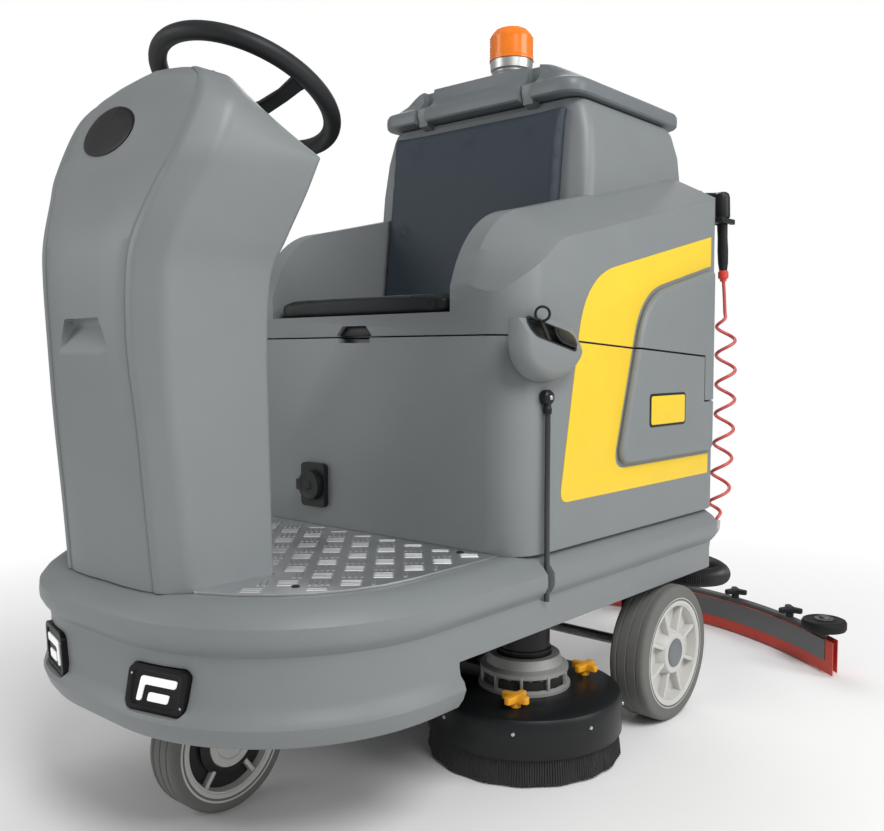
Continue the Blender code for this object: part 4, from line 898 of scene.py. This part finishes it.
# ---------------------------------------------------------------- wheels
def tyre(radius, inner, width, centre, turn):
    half = width / 2
    profile = [(inner, -half + 0.003)]
    profile += [(inner + 0.003, -half), (radius - 0.014, -half + 0.0004)]
    for a in [pi / 2 * k / 6 for k in range(1, 7)]:
        profile.append((radius - 0.010 + 0.010 * sin(a), -half + 0.010 - 0.010 * cos(a)))
    for h in (-0.55, 0.0, 0.55):
        y = h * half
        profile += [(radius, y - 0.0022), (radius - 0.0016, y - 0.0012), (radius - 0.0016, y + 0.0012),
                    (radius, y + 0.0022)]
    profile += [(r, -h) for r, h in reversed(profile[:9])]
    profile.append(profile[0])
    return lathe(profile, centre, steps=96, turn=turn)


def wheel_centre(radius, width, dish, ribs, centre, turn):
    """A dished plastic wheel with a deep outer face, ribs and a round cap."""
    half = width / 2
    profile = [
        (0, half - 0.0105), (0.0127, half - 0.0105), (0.0127, -half + 0.004), (0.044, -half + 0.004),
        (0.050, -half + dish), (radius - 0.012, -half + dish), (radius - 0.003, -half + 0.002),
        (radius, -half + 0.004), (radius, half - 0.004), (radius - 0.002, half - 0.002),
        (radius - 0.008, half - 0.002), (radius - 0.012, half - dish), (0.052, half - dish),
        (0.046, half - 0.004), (0.044, half - 0.0012), (0.031, half - 0.0012), (0.030, half - 0.003),
        (0.028, half - 0.0012), (0.010, half - 0.0005), (0, half - 0.0005),
    ]
    flange = [
        (radius - 0.006, half - 0.0030), (radius + 0.0095, half - 0.0005),
        (radius + 0.0115, half - 0.0002), (radius + 0.0120, half + 0.0004),
        (radius + 0.0080, half + 0.0008), (radius - 0.004, half - 0.0005),
        (radius - 0.006, half - 0.0030),
    ]
    pieces = [lathe(profile, (0, 0, 0), steps=96), lathe(flange, (0, 0, 0), steps=96)]
    for k in range(ribs):
        rib = block((0.040, -0.0042, half - dish - 0.003), (radius - 0.003, 0.0042, half - 0.005), 0.002, 3)
        pieces.append(moved(rib, turned(2 * pi * (k + 0.5) / ribs, "Z")))
    return moved(joined(*pieces), shift(centre) @ turn)


def hub_cap(name, half, centre, turn, body):
    """A domed grey cap over the wheel's bolt."""
    profile = raised(half, "0 -2, 30 -2, 31 -0.4, 28.5 1, 12 1.6, 0 1.7")
    cap = lathe(profile, (0, 0, 0), steps=64)
    fitted(moved(cap, shift(centre) @ turn), name, body, lid_plastic)


def fit_wheels():
    for side, word in ((1, "left"), (-1, "right")):
        low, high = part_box("rear_tyre_" + word)
        middle = (low + high) / 2
        turn = turned(side * pi / 2, "Y")
        body = "rear_wheel_" + word
        radius = (high.z - low.z) / 2
        fitted(tyre(radius, 0.1123, high.x - low.x, middle, turn), "tyre_" + word, body, tyre_rubber,
            "rear_tyre_" + word)
        centre = wheel_centre(0.1118, high.x - low.x - 0.0016, 0.022, 8, middle, turn)
        fitted(centre, "wheel_centre_" + word, body, rim_plastic, "rear_rim_" + word)
        hub_cap("hub_cap_" + word, (high.x - low.x) / 2, middle, turn, body)
    low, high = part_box("front_tyre")
    middle, turn = (low + high) / 2, turned(pi / 2, "Y")
    fitted(tyre((high.z - low.z) / 2, 0.0953, high.x - low.x, middle, turn), "tyre_front", "drive_wheel",
        tyre_rubber, "front_tyre")
    centre = wheel_centre(0.0948, high.x - low.x - 0.0016, 0.018, 5, middle, turn)
    fitted(centre, "wheel_centre_front", "drive_wheel", rim_plastic, "front_rim")
    motor = lathe(mm("46 18, 60 18, 60 26, 50 33.5, 46 33.5, 46 18"), middle, steps=64, turn=turn)
    fitted(motor, "hub_motor_cover", "drive_wheel", (black_coat, "black_plastic"))
    dark = mm("50 16.5, 87.5 16.5, 88.5 18.5, 50 18.5, 50 16.5")
    fitted(lathe(dark, middle, steps=64, turn=turn), "hub_motor_shield", "drive_wheel",
        (black_coat, "black_plastic"))
    finely("front_fork", "fork_casting", "fork", black_coat, 0.002, 2)


# ---------------------------------------------------------------- brush deck
def star_knob(name, x, y, z, arms, reach, finish, node):
    """A hand knob: rounded arms round a raised middle on a short foot."""
    outline = []
    for k in range(arms):
        a = 2 * pi * k / arms
        for turn, r in ((-0.30, reach * 0.86), (-0.16, reach), (0.16, reach), (0.30, reach * 0.86),
            (pi / arms, reach * 0.40)):
            outline.append((r * cos(a + turn), r * sin(a + turn)))
    star = soften(slab(filleted(outline, 0.004, 3), z + 0.011, z + 0.0245), 0.003, 3)
    foot = lathe(mm("0 0.3, 10.5 0.3, 10.5 12.5, 0 12.5"), (0, 0, z), steps=32)
    cap = lathe(mm("0 23.5, 11.5 23.5, 11 25.5, 0 26"), (0, 0, z), steps=32)
    knob = moved(joined(star, foot, cap), shift((x, y, 0)))
    return fitted(knob, name, node, finish, node)


def bristle_ring(centre):
    """Tufts of fibres in four rings, leaning slightly outwards."""

    def edit(bm):
        for row, (radius, count) in enumerate(((0.1925, 250), (0.183, 220), (0.168, 120), (0.125, 90))):
            for k in range(count):
                a = 2 * pi * (k + 0.5 * (row % 2)) / count
                lean = 0.004 * sin(k * 12.9898 + row * 4.1)
                tip = 0.0045 + 0.0015 * (0.5 + 0.5 * sin(k * 78.233 + row))
                rings = []
                for z, r, out in ((0.062, 0.0024, -0.004), (tip, 0.0029, 0.0008 + 0.4 * lean)):
                    b = a + lean * (z < 0.05)
                    spot = Vector((cos(b), sin(b), 0)) * (radius + out)
                    rings.append([bm.verts.new(spot + Vector((r * cos(t), r * sin(t), z)))
                                  for t in [2 * pi * n / 5 for n in range(5)]])
                for n in range(5):
                    bm.faces.new((rings[0][n], rings[0][(n + 1) % 5], rings[1][(n + 1) % 5], rings[1][n]))
                bm.faces.new(rings[1])
                bm.faces.new(list(reversed(rings[0])))

    return moved(smooth(made(edit), 60), shift(centre))


def fit_brush_deck():
    finely("deck_beam", "deck_frame", "brush_deck", black_coat, 0.002, 2)
    for word in ("left", "right"):
        low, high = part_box("brush_cover_" + word)
        middle = middle_of("brush_cover_" + word)
        top, rim, radius = high.z, low.z, (high.x - low.x) / 2
        cover = [
            (0.024, top - 0.006), (0.024, top - 0.0002), (0.120, top), (radius - 0.014, top - 0.002),
            (radius - 0.005, top - 0.006), (radius, top - 0.014), (radius, rim + 0.012),
            (radius - 0.0005, rim + 0.010), (radius - 0.0005, rim), (radius - 0.006, rim),
            (radius - 0.006, top - 0.014), (radius - 0.012, top - 0.008), (0.024, top - 0.006),
        ]
        fitted(lathe(cover, middle, steps=112), "brush_shroud_" + word, "brush_deck", black_plastic,
            "brush_cover_" + word)
        for n in range(8):
            a = radians(-150 + 45 * n)
            spot = middle + Vector((radius * cos(a), radius * sin(a), top - 0.030))
            head = screw_head(spot, (cos(a), sin(a), 0), 0.004)
            fitted(head, f"shroud_screw_{word}_{n + 1}", "brush_deck", bright_steel)
        bracket = raised(top,
            "56.5 0.8, 94 0.8, 94 7, 84 12, 83 30, 90 34, 90 42, 78 48, 72 66, 56.5 66, 56.5 0.8")
        pieces = [lathe(bracket, middle, steps=64)]
        for k in range(10):
            web = block((0.070, -0.003, top + 0.006), (0.091, 0.003, top + 0.038), 0.001, 2)
            pieces.append(moved(web, shift(middle) @ turned(2 * pi * (k + 0.4) / 10, "Z")))
        fitted(joined(*pieces), "motor_casting_" + word, "brush_deck", cast_alloy)
        motor = [
            (0, top + 0.0005), (0.055, top + 0.0005), (0.055, top + 0.070), (0.0555, top + 0.071),
            (0.0555, top + 0.078), (0.052, top + 0.080), (0.052, 0.262), (0.050, 0.270),
            (0.036, 0.2815), (0, 0.2818),
        ]
        fitted(lathe(motor, middle, steps=64), "brush_motor_can_" + word, "brush_deck", black_coat,
            "brush_motor_" + word)
        body = "scrub_brush_" + word
        disc = [
            (0, top - 0.002), (0.022, top - 0.002), (0.022, top - 0.010), (0.165, top - 0.015),
            (0.184, 0.066), (0.184, 0.052), (0.105, 0.052), (0.100, 0.070), (0, 0.070),
        ]
        core = mm("112 55, 188 55, 190 30, 190.5 12, 112 12, 112 55")
        fitted(lathe(disc, middle, steps=96), "brush_plate_" + word, body, black_plastic, "brush_" + word)
        fitted(lathe(core, middle, steps=128), "brush_fill_" + word, body, bristle_black)
        fitted(bristle_ring(middle), "brush_tufts_" + word, body, bristle_black)
        for n in (1, 2):
            node = f"deck_knob_{word}_{n}"
            low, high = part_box(node)
            spot = (low + high) / 2
            star_knob(f"star_knob_{word}_{n}", spot.x, spot.y, low.z, 4, 0.0300, knob_plastic, node)


# ---------------------------------------------------------------- squeegee
def squeegee_y(x):
    return 1.672 - 0.70 * x * x


def swept(half, offset, section):
    """A section of (y, z) points swept along the squeegee's curve."""
    stations = [half * (i / 36 - 1) for i in range(73)]
    return loft([[(x, squeegee_y(x) + offset + y, z) for y, z in section] for x in stations])


def fit_squeegee():
    section = filleted(mm("-15 64, 15 64, 15 94, 9 99.8, -9 99.8, -15 94"), 0.003, 3)
    bar = smooth(swept(0.575, 0.0, section), 40)
    spout = mm("21 96, 36 96, 38 100, 36 120, 27.5 124, 26 130, 26 183, 24.5 185, 21 185, 21 96")
    port = lathe(spout, (0, PORT_Y, 0))
    fitted(joined(bar, port), "squeegee_channel", "squeegee", grey_coat, "squeegee_bar")
    for word, sign in (("front", -1), ("rear", 1)):
        lip = filleted(mm("-2 4.2, 2 4.2, 2 88, -2 88"), 0.0006, 2)
        blade = smooth(swept(0.605, sign * 0.0173, lip), 40)
        fitted(blade, "red_blade_" + word, "squeegee", red_rubber, "squeegee_blade_" + word)
        strap = smooth(swept(0.578, sign * 0.0203, mm("-0.9 34, 0.9 34, 0.9 87, -0.9 87")), 40)
        fitted(strap, "blade_strap_" + word, "squeegee", galvanised)
    for n, x in enumerate((-0.445, -0.250, 0.250, 0.445), 1):
        node = f"squeegee_knob_{n}"
        star_knob(f"wing_knob_{n}", x, squeegee_y(x), 0.1003, 3, 0.034, black_plastic, node)
    for word in ("left", "right"):
        low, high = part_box("bumper_roller_" + word)
        middle = middle_of("bumper_roller_" + word)
        bottom, top = low.z, high.z
        roller = [
            (0.0064, bottom), (0.047, bottom), (0.052, bottom + 0.002), (0.0548, bottom + 0.007),
            (0.0548, top - 0.007), (0.052, top - 0.002), (0.047, top), (0.044, top - 0.0015),
            (0.030, top - 0.0015), (0.028, top), (0.0064, top), (0.0064, bottom),
        ]
        fitted(lathe(roller, middle, steps=72), "roller_" + word, "roller_" + word,
            (black_rubber, "black_plastic"), "bumper_roller_" + word)
        bolt = [
            (0, 0.099), (0.006, 0.099), (0.006, top + 0.0003), (0.024, top + 0.0006),
            (0.024, top + 0.002), (0.0135, top + 0.003), (0.012, top + 0.0078), (0, top + 0.008),
        ]
        fitted(lathe(bolt, middle, steps=48), "roller_cap_" + word, "squeegee", galvanised)
    finely("squeegee_arm", "squeegee_lever_arm", "squeegee_lever", black_coat, 0.0025, 3)


# ---------------------------------------------------------------- tanks
SIDE_X = 0.410


def seam_z(y):
    return 0.840 + (0.802 - 0.840) / (1.030 - 0.335) * (y - 0.335)


def side_panel(name, outline, thickness, edge, body, finish, fillet=0.012, part=None):
    """A moulding on the left and the right side of the tanks; part keeps what is above or below the seam."""
    for side, word in ((1, "left"), (-1, "right")):
        low, high = mirrored(side, SIDE_X - 0.004, SIDE_X + thickness)
        panel = soften(slab(filleted(outline, fillet), low, high, "X"), edge, 4, 50)
        if part:
            lift, far = (0.0035, 0.4) if part == "top" else (-0.0005, 1.4)
            drop = 1.030 + lift
            line = [(0.3, far), (1.3, far), (1.3, 0.700 + lift), (drop, 0.700 + lift),
                    (drop, seam_z(drop) + lift)]
            carve(panel, slab(line + [(0.3, seam_z(0.3) + lift)], -0.6, 0.6, "X"))
            smooth(panel)
        fitted(panel, f"{name}_{word}", body, finish)


def mould_tanks():
    lower = refined("lower_tank", 0.004, 3, 28)
    fitted(lower, "lower_tank_moulding", "chassis", body_plastic, "lower_tank")
    mould_upper_body()
    yellow = mm(
        "1082 1078 4, 547.4 955.1 110, 464 531 28, 1082 531 4, 1082 577 4, 653 578 45, 758.8 934.6 90, "
        "1082 1011 4")
    boss = mm("1084 1004 20, 765.5 928.5 88, 662 585 44, 1084 585 20")
    for part, body in (("top", "upper_body"), ("low", "chassis")):
        side_panel("yellow_panel_" + part, yellow, 0.0012, 0.0006, body, yellow_plastic, part=part)
        side_panel("side_boss_" + part, boss, 0.015, 0.0125, body, body_plastic, part=part)
    plate = mm("775 655, 935 655, 935 725, 775 725")
    side_panel("plate_frame", plate, 0.0165, 0.0008, "chassis", black_plastic, 0.010)
    inner = mm("780 660, 930 660, 930 720, 780 720")
    side_panel("plain_plate", inner, 0.0173, 0.0005, "chassis", yellow_plastic, 0.007)


BODY_FRONT, BODY_REAR, BODY_CORNER = 0.335, 1.160, 0.075
SEAT_Z, TANK_TOP = 0.885, 1.353
WELL_HALF, BACK_LOW, BACK_HIGH = 0.254, 0.6863, 0.7383
HINGE_Y, HINGE_Z = 1.173, 0.700
LID_AXIS_Z, BEACON_Y = 1.383, 0.860


def armrest_section(x):
    """Side view of the upper body at x: the armrest's crown falls away outside its inner edge."""
    crown = mm("315 890, 334.5 930, 352 975, 376 1015, 412 1052, 460 1078")
    crown += [(y, 1.078 + (y - 0.46) * 0.235) for y in (0.530, 0.640, 0.800, 0.960, 1.100)]
    line = [Vector(p) for p in ((y, z, 0) for y, z in crown)]
    smoothed = spline(line, 60)
    fall = max(0.0, abs(x) - 0.300) * 0.55
    out = []
    for i, p in enumerate(smoothed):
        along = (smoothed[min(i + 1, 60)] - smoothed[max(i - 1, 0)]).normalized()
        share = min(1.0, max(0.0, (p.y - 0.862) / 0.190))
        share = share * share * (3 - 2 * share)
        out.append((p.x + along.y * fall * share, p.y - along.x * fall * share))
    seam = lambda y: seam_z(y) + 0.003
    rear = [(1.180, 1.165 - fall), (1.180, HINGE_Z + 0.003), (1.033, HINGE_Z + 0.003),
            (1.033, seam(1.033)), (0.315, seam(0.315))]
    return [(x, y, z) for y, z in out + rear]


def mould_upper_body():
    """Tank and armrests in one moulding, with the seat's well, the tower and the tank's inside."""
    half = SIDE_X
    body = loft([armrest_section(x) for x in (
        -0.42, -0.396, -0.372, -0.348, -0.324, -0.300, 0.300, 0.324, 0.348, 0.372, 0.396, 0.42)])
    plan = rounded(-half, half, BODY_FRONT, BODY_REAR, BODY_CORNER, 12)
    carve(body, slab(plan, 0.6, 1.5), operation="INTERSECT")
    soften(body, 0.010, 4, 24)
    lean = (BACK_HIGH - BACK_LOW) / (TANK_TOP - SEAT_Z)
    well = block((-WELL_HALF, 0.1, SEAT_Z), (WELL_HALF, BACK_HIGH, 1.5), 0)
    notch = slab(mm("-50 800, 50 800, 50 846, 34 864, -34 864, -50 846"),
                 BODY_FRONT - 0.02, BODY_FRONT + 0.03, "Y")
    carve(body, well, notch)
    rings = []
    for z, wide, rear in (
        (SEAT_Z - 0.01, 0.305, 1.156), (1.20, 0.305, 1.156), (1.28, 0.297, 1.154),
        (TANK_TOP - 0.02, 0.283, 1.148), (TANK_TOP - 0.006, 0.276, 1.141), (TANK_TOP, 0.268, 1.133),
    ):
        front = BACK_LOW + lean * (z - SEAT_Z)
        rings.append([(x, y, z) for x, y in rounded(-wide, wide, front, rear, 0.030, 10)])
    carve(body, loft(rings), operation="UNION")
    inside = slab(rounded(-0.240, 0.240, BACK_HIGH + 0.030, BODY_REAR - 0.040, 0.03, 6), SEAT_Z + 0.03, 1.6)
    carve(body, inside)
    for side in (1, -1):
        low, high = mirrored(side, 0.140, 0.166)
        ear = [
            (0.7455, TANK_TOP - 0.012), (0.7455, TANK_TOP), (0.726, LID_AXIS_Z + 0.009),
            (0.710, LID_AXIS_Z + 0.009), (0.708, LID_AXIS_Z - 0.006), (0.716, TANK_TOP - 0.002),
        ]
        tab = slab(ear, low, high, "X")
        low, high = mirrored(side, 0.2175, 0.2425)
        barrel = lathe([(0, low), (0.011, low), (0.011, high), (0, high)], (0, HINGE_Y, HINGE_Z), "X", 32)
        leg = block((low, BODY_REAR - 0.004, HINGE_Z), (high, HINGE_Y + 0.006, HINGE_Z + 0.045), 0)
        carve(body, tab, barrel, leg, operation="UNION")
    soften(body, 0.0035, 3, 32)
    fitted(body, "upper_body_moulding", "upper_body", body_plastic, "recovery_tank")
    clip = block((GUN_X - 0.0185, BODY_REAR - 0.004, 1.122), (GUN_X + 0.024, GUN_Y + 0.022, 1.134), 0)
    gap = block((GUN_X - 0.0133, GUN_Y - 0.0133, 1.1), (GUN_X + 0.0133, GUN_Y + 0.05, 1.2), 0)
    fitted(soften(carve(clip, gap), 0.0015, 3), "gun_rest", "upper_body", black_plastic)
    lining = slab(mm("-49.5 844.5, 49.5 844.5, 33.5 863.2, -33.5 863.2"), BODY_FRONT + 0.0105,
                  BODY_FRONT + 0.0295, "Y")
    fitted(soften(lining, 0.001, 2), "notch_lining", "upper_body", black_plastic)


def lid_section(inset, z, drop):
    plan = rounded(-0.285 + inset, 0.285 - inset, 0.700 + min(inset, 0.035), 1.185 - inset,
                   max(0.045 - inset * 0.3, 0.02), 8)
    return [(x, y, z - drop * (abs(x) / 0.285) ** 2) for x, y in plan]


def mould_lid():
    levels = mm(
        "16 1356.8 0, 4 1358 0, 0.8 1362 0, 0 1372 0, 0.8 1384 0, 4 1390 0, 12 1394 0, 18 1396 0, "
        "24 1401 0, 45 1413 0, 75 1428 0, 90 1434.5 0, 102 1437.2 0, 140 1438.6 0")
    lid = loft([lid_section(*level) for level in levels])
    notches = [block((x - 0.0165, 0.6, 1.2), (x + 0.0165, 0.753, 1.6), 0) for x in (0.153, -0.153)]
    lining = slab(rounded(-0.225, 0.225, 0.775, 1.110, 0.02), 1.2, 1.388)
    carve(lid, *notches, lining)
    soften(lid, 0.003, 3, 45)
    fitted(lid, "lid_moulding", "lid", lid_plastic, "tank_lid")
    seat = lathe(mm("0 1433, 70 1433, 68 1439.5, 0 1439.8"), (0, BEACON_Y, 0), steps=72)
    fitted(seat, "beacon_seat", "lid", lid_plastic)
    low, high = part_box("beacon_base")
    z = low.z
    base = raised(z, "0 0, 53.5 0, 53.5 10, 51 13, 48 14, 47.5 22, 0 22")
    fitted(lathe(base, (0, BEACON_Y, 0), steps=72), "beacon_foot", "lid", black_plastic, "beacon_base")
    band = raised(z, "0 22, 46.5 22, 47.5 26, 45.5 30, 47.5 34, 45.5 38, 50 42, 51 62, 0 62")
    fitted(lathe(band, (0, BEACON_Y, 0), steps=72), "beacon_band", "lid", bright_steel)
    low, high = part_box("beacon_lens")
    foot = low.z + 0.017
    profile = [(0, foot), (0.0528, foot), (0.0530, foot + 0.004)]
    for k in range(7):
        h = foot + 0.006 + k * 0.0072
        profile += [(0.0518, h), (0.0527, h + 0.0036)]
    profile += [(0.0512, low.z + 0.074), (0.0440, low.z + 0.086), (0.034, low.z + 0.0925),
                (0.018, low.z + 0.0955), (0, high.z)]
    fitted(lathe(profile, (0, BEACON_Y, 0), steps=96), "beacon_dome", "lid", beacon_amber, "beacon_lens")


# ---------------------------------------------------------------- upholstery
def swollen(obj, cap):
    """Fills a closed cover as foam does: a cloth under pressure, held to a few millimetres of swelling."""
    modified(obj, "REMESH", mode="VOXEL", voxel_size=0.006)
    rest = [v.co.copy() for v in obj.data.vertices]
    cloth = obj.modifiers.new("Cloth", "CLOTH")
    cloth.settings.quality = 4
    cloth.settings.use_pressure = True
    cloth.settings.uniform_pressure_force = 4.0
    cloth.settings.tension_stiffness = 25.0
    cloth.settings.effector_weights.gravity = 0.0
    cloth.collision_settings.use_collision = False
    for step in range(1, 15):
        scene.frame_set(step)
    alone(obj)
    bpy.ops.object.modifier_apply(modifier=cloth.name)
    scene.frame_set(1)
    for v, old in zip(obj.data.vertices, rest):
        push = v.co - old
        if push.length > cap:
            v.co = old + push.normalized() * cap
    return obj


def upholster():
    low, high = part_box("seat_cushion")
    plan = rounded(low.x + 0.006, high.x - 0.006, low.y + 0.006, high.y - 0.004, 0.03)
    cover = slab(plan, low.z + 0.003, high.z + 0.002)
    swollen(cover, 0.006)
    middle = (low + high) / 2
    for v in cover.data.vertices:
        if v.co.z > middle.z:
            across = abs(v.co.x - middle.x) / (high.x - low.x) * 2
            v.co.z += 0.005 * (1 - across**2)
        v.co.z = max(low.z, min(v.co.z, high.z + 0.010))
    smooth(modified(cover, "SUBSURF", levels=1, render_levels=1), 80)
    fitted(cover, "seat_pad", "upper_body", seat_vinyl, "seat_cushion")

    low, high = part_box("backrest_pad")
    lean = (high.y - low.y - 0.0257) / (high.z - low.z)
    rings = []
    for z in [low.z + 0.003 + (high.z - low.z - 0.007) * k / 30 for k in range(31)]:
        face = low.y + 0.004 + lean * (z - low.z)
        plan = rounded(low.x + 0.004, high.x - 0.004, face, face + 0.021, 0.008)
        rings.append([(x, y, z) for x, y in plan])
    cover = loft(rings)
    swollen(cover, 0.006)
    spots = mm("-169 1300, -7 1300, 158 1300, -190 1094, 190 1094")
    for v in cover.data.vertices:
        front = low.y + lean * (v.co.z - low.z)
        if v.co.y < front + 0.014:
            u = v.co.x / high.x
            w = (v.co.z - low.z) / (high.z - low.z) * 2 - 1
            v.co.y -= 0.0035 * max(0.0, 1 - u * u) * max(0.0, 1 - w * w)
            for x, z in spots:
                v.co.y += 0.004 * exp(-((v.co.x - x) ** 2 + (v.co.z - z) ** 2) / 0.021**2)
    smooth(modified(cover, "SUBSURF", levels=1, render_levels=1), 80)
    fitted(cover, "back_pad", "upper_body", back_vinyl, "backrest_pad")
    for n, (x, z) in enumerate(spots):
        front = low.y + lean * (z - low.z) + 0.0035
        button = lathe(mm("0 0, 13.5 0, 14 1.2, 12 3, 6 4, 0 4.3"), (x, front, z), steps=32,
                       turn=turned(pi / 2, "X"))
        fitted(button, f"back_button_{n + 1}", "upper_body", back_vinyl)


# ---------------------------------------------------------------- fittings on the tanks
def fit_filler():
    """A cup bulges from the side; its mouth, tipped outwards, holds the neck, the cap, a strap and a pull."""
    low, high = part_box("filler_pocket")
    y, top, side = (low.y + high.y) / 2, high.z, low.x
    rings = []
    for k in range(11):
        a = pi / 2 * k / 10
        out, share, wide = side - 0.002 + 0.038 * sin(a), 0.62 + 0.38 * cos(a), 0.80 + 0.20 * cos(a)
        ring = [(y + 0.098 * cos(radians(b)) * wide, top - 0.030 + 0.070 * share * sin(radians(b)))
                for b in range(180, 361, 10)]
        ring += [(ring[-1][0], top + 0.012), (ring[0][0], top + 0.012)]
        rings.append([(out, p, q) for p, q in ring])
    cup = loft(rings)
    tip = shift((side + 0.022, y, top - 0.014)) @ turned(radians(-12), "X")
    tip = tip @ turned(radians(57), "Y")
    oval = lambda at, wide, long: rounded(-wide, wide, at - long, at + long, wide - 0.0004, 10)
    above = moved(block((-0.2, -0.2, 0), (0.2, 0.2, 0.2), 0), tip)
    hole = moved(slab(oval(0, 0.0236, 0.0765), -0.009, 0.06), tip)
    carve(cup, above, hole)
    soften(cup, 0.003, 3, 35)
    fitted(cup, "filler_surround", "chassis", body_plastic, "filler_pocket")
    collar = slab(oval(0, 0.0234, 0.0762), -0.0085, 0.0012)
    carve(collar, slab(oval(0, 0.0192, 0.0718), -0.0064, 0.1))
    fitted(moved(soften(collar, 0.002, 3), tip), "filler_neck", "chassis", grip_plastic)
    # A thin black disc just inside the neck: painted shade standing in for the dark hole under the open half
    # of the mouth.
    neck_shade_disc = slab(oval(0, 0.0190, 0.0716), -0.0068, -0.0060)
    fitted(moved(neck_shade_disc, tip), "filler_painted_shade", "chassis", lamp_black)
    cap = slab(oval(0.038, 0.0174, 0.0334), 0.0008, 0.0066)
    crown = slab(oval(0.038, 0.0120, 0.0275), 0.0045, 0.0090)
    cap = joined(soften(cap, 0.0025, 3), soften(crown, 0.0020, 3))
    fitted(moved(cap, tip), "filler_stopper", "filler_lid", black_plastic, "filler_cap")
    fresh()
    bpy.ops.mesh.primitive_torus_add(major_radius=0.0125, minor_radius=0.0024, major_segments=48,
                                     minor_segments=12)
    ring = bpy.context.object
    foot = tip @ Vector((-0.020, -0.024, 0.004))
    stand = shift(foot + Vector((0, 0, 0.0115))) @ turned(radians(34), "Z")
    stand = stand @ turned(radians(90), "X")
    strap = block((-0.0225, -0.031, 0.0003), (0.0215, -0.021, 0.0036), 0.001)
    fitted(moved(smooth(ring, 60), stand), "pull_ring", "chassis", black_plastic)
    fitted(moved(strap, tip), "cap_strap", "chassis", black_plastic)


def fit_level_tube():
    low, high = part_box("level_tube")
    x, y = (low.x + high.x) / 2, (low.y + high.y) / 2
    path = spline([(x, y, high.z), (x, y, 0.62), (x, y, 0.52), (x + 0.0004, y, 0.44),
                   (x + 0.0004, y, low.z)], 60)
    fitted(tube(path, 0.0052, 16), "sight_tube", "chassis", clear_plastic, "level_tube")
    fitted(tube(path[3:-3], 0.0031, 12), "sight_tube_water", "chassis", (lid_plastic, "clear_tube"))
    low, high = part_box("tube_elbow")
    side, top = low.x, high.z - 0.014
    elbow = lathe(mm("0 0, 13.5 0, 13.8 3, 13.8 12, 11 15.5, 5 16, 0 16"), (side, y, top), "X", 48)
    foot = low.z - top
    neck = [(0, foot), (0.0075, foot), (0.0078, foot + 0.010), (0.0066, foot + 0.012), (0.0066, 0), (0, 0)]
    neck = lathe(neck, (x - 0.0004, y, top), steps=32)
    fitted(joined(elbow, neck), "tube_elbow_fitting", "chassis", black_plastic, "tube_elbow")
    fitted(screw_head((side + 0.016, y, top), (1, 0, 0), 0.0045), "elbow_screw", "chassis", bright_steel)


def fit_charge_flap():
    low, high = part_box("charge_flap")
    flap_y, x, z = high.y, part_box("charge_socket")[0].x + 0.036, (low.z + high.z) / 2
    turn = turned(pi / 2, "X")
    dome = mm("0 0, 31.8 0, 31.8 3, 30 4.4, 26 4.8, 24 4, 10 4, 8 5.6, 0 5.9")
    flap = lathe(dome, (x, flap_y, z), steps=64, turn=turn)
    tab = block((low.x, flap_y - 0.0044, z - 0.0115), (x - 0.024, flap_y, z + 0.0115), 0.0012)
    fitted(joined(flap, tab), "socket_flap", "charge_door", black_plastic, "charge_flap")
    for n, (a, b) in enumerate(((-1, -1), (1, -1), (1, 1), (-1, 1))):
        spot = (x + a * 0.029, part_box("charge_socket")[0].y + 0.020, z + b * 0.039)
        fitted(screw_head(spot, (0, -1, 0), 0.004), f"socket_screw_{n + 1}", "chassis", bright_steel)


def fit_spray_gun():
    """A pistol-shaped gun head down its lance grip, with a red swivel nut."""
    profile = mm(
        "0 1012, 9.5 1012, 12 1030, 12.8 1060, 11.8 1090, 12.8 1130, 13 1134.2, 18.8 1139, 19 1186, "
        "16.5 1195, 10 1199.5, 0 1200")
    gun = lathe(profile, (GUN_X, GUN_Y, 0), steps=48)
    back = shift((GUN_X, GUN_Y, 1.187)) @ turned(radians(-84.3), "Y")
    barrel = lathe(mm("0 0, 11.8 0, 11.2 50, 12.8 53, 16.8 56, 16.8 72.5, 12.5 74, 0 74.2"),
                   (0, 0, 0), steps=40)
    barrel.data.transform(back)
    hang = shift((GUN_X, GUN_Y, 1.150)) @ turned(LEAN / SWIVEL_DROP, "X") @ shift((-GUN_X, -GUN_Y, -1.150))
    fitted(moved(joined(gun, barrel), hang), "spray_gun_body", "upper_body", black_plastic, "spray_gun")
    swivel = mm("0 985, 7.5 985, 8.2 990, 12.5 994, 12.5 1008, 10 1011.8, 0 1012")
    fitted(moved(lathe(swivel, (GUN_X, GUN_Y, 0), steps=36), hang), "swivel_nut", "upper_body",
        (red_plastic, "hose_red"))


# ---------------------------------------------------------------- making
set_the_stage()
hang_suction_hose()
hang_recoil_hose()
for node, finish in CARRIED.items():
    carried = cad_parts[node]
    carried.data.materials.clear()
    carried.data.materials.append(finish)
mould_base()
fit_lamps()
lay_footplate()
mould_column()
fit_steering()
fit_wheels()
fit_brush_deck()
fit_squeegee()
mould_tanks()
mould_lid()
upholster()
fit_filler()
fit_level_tube()
fit_charge_flap()
fit_spray_gun()
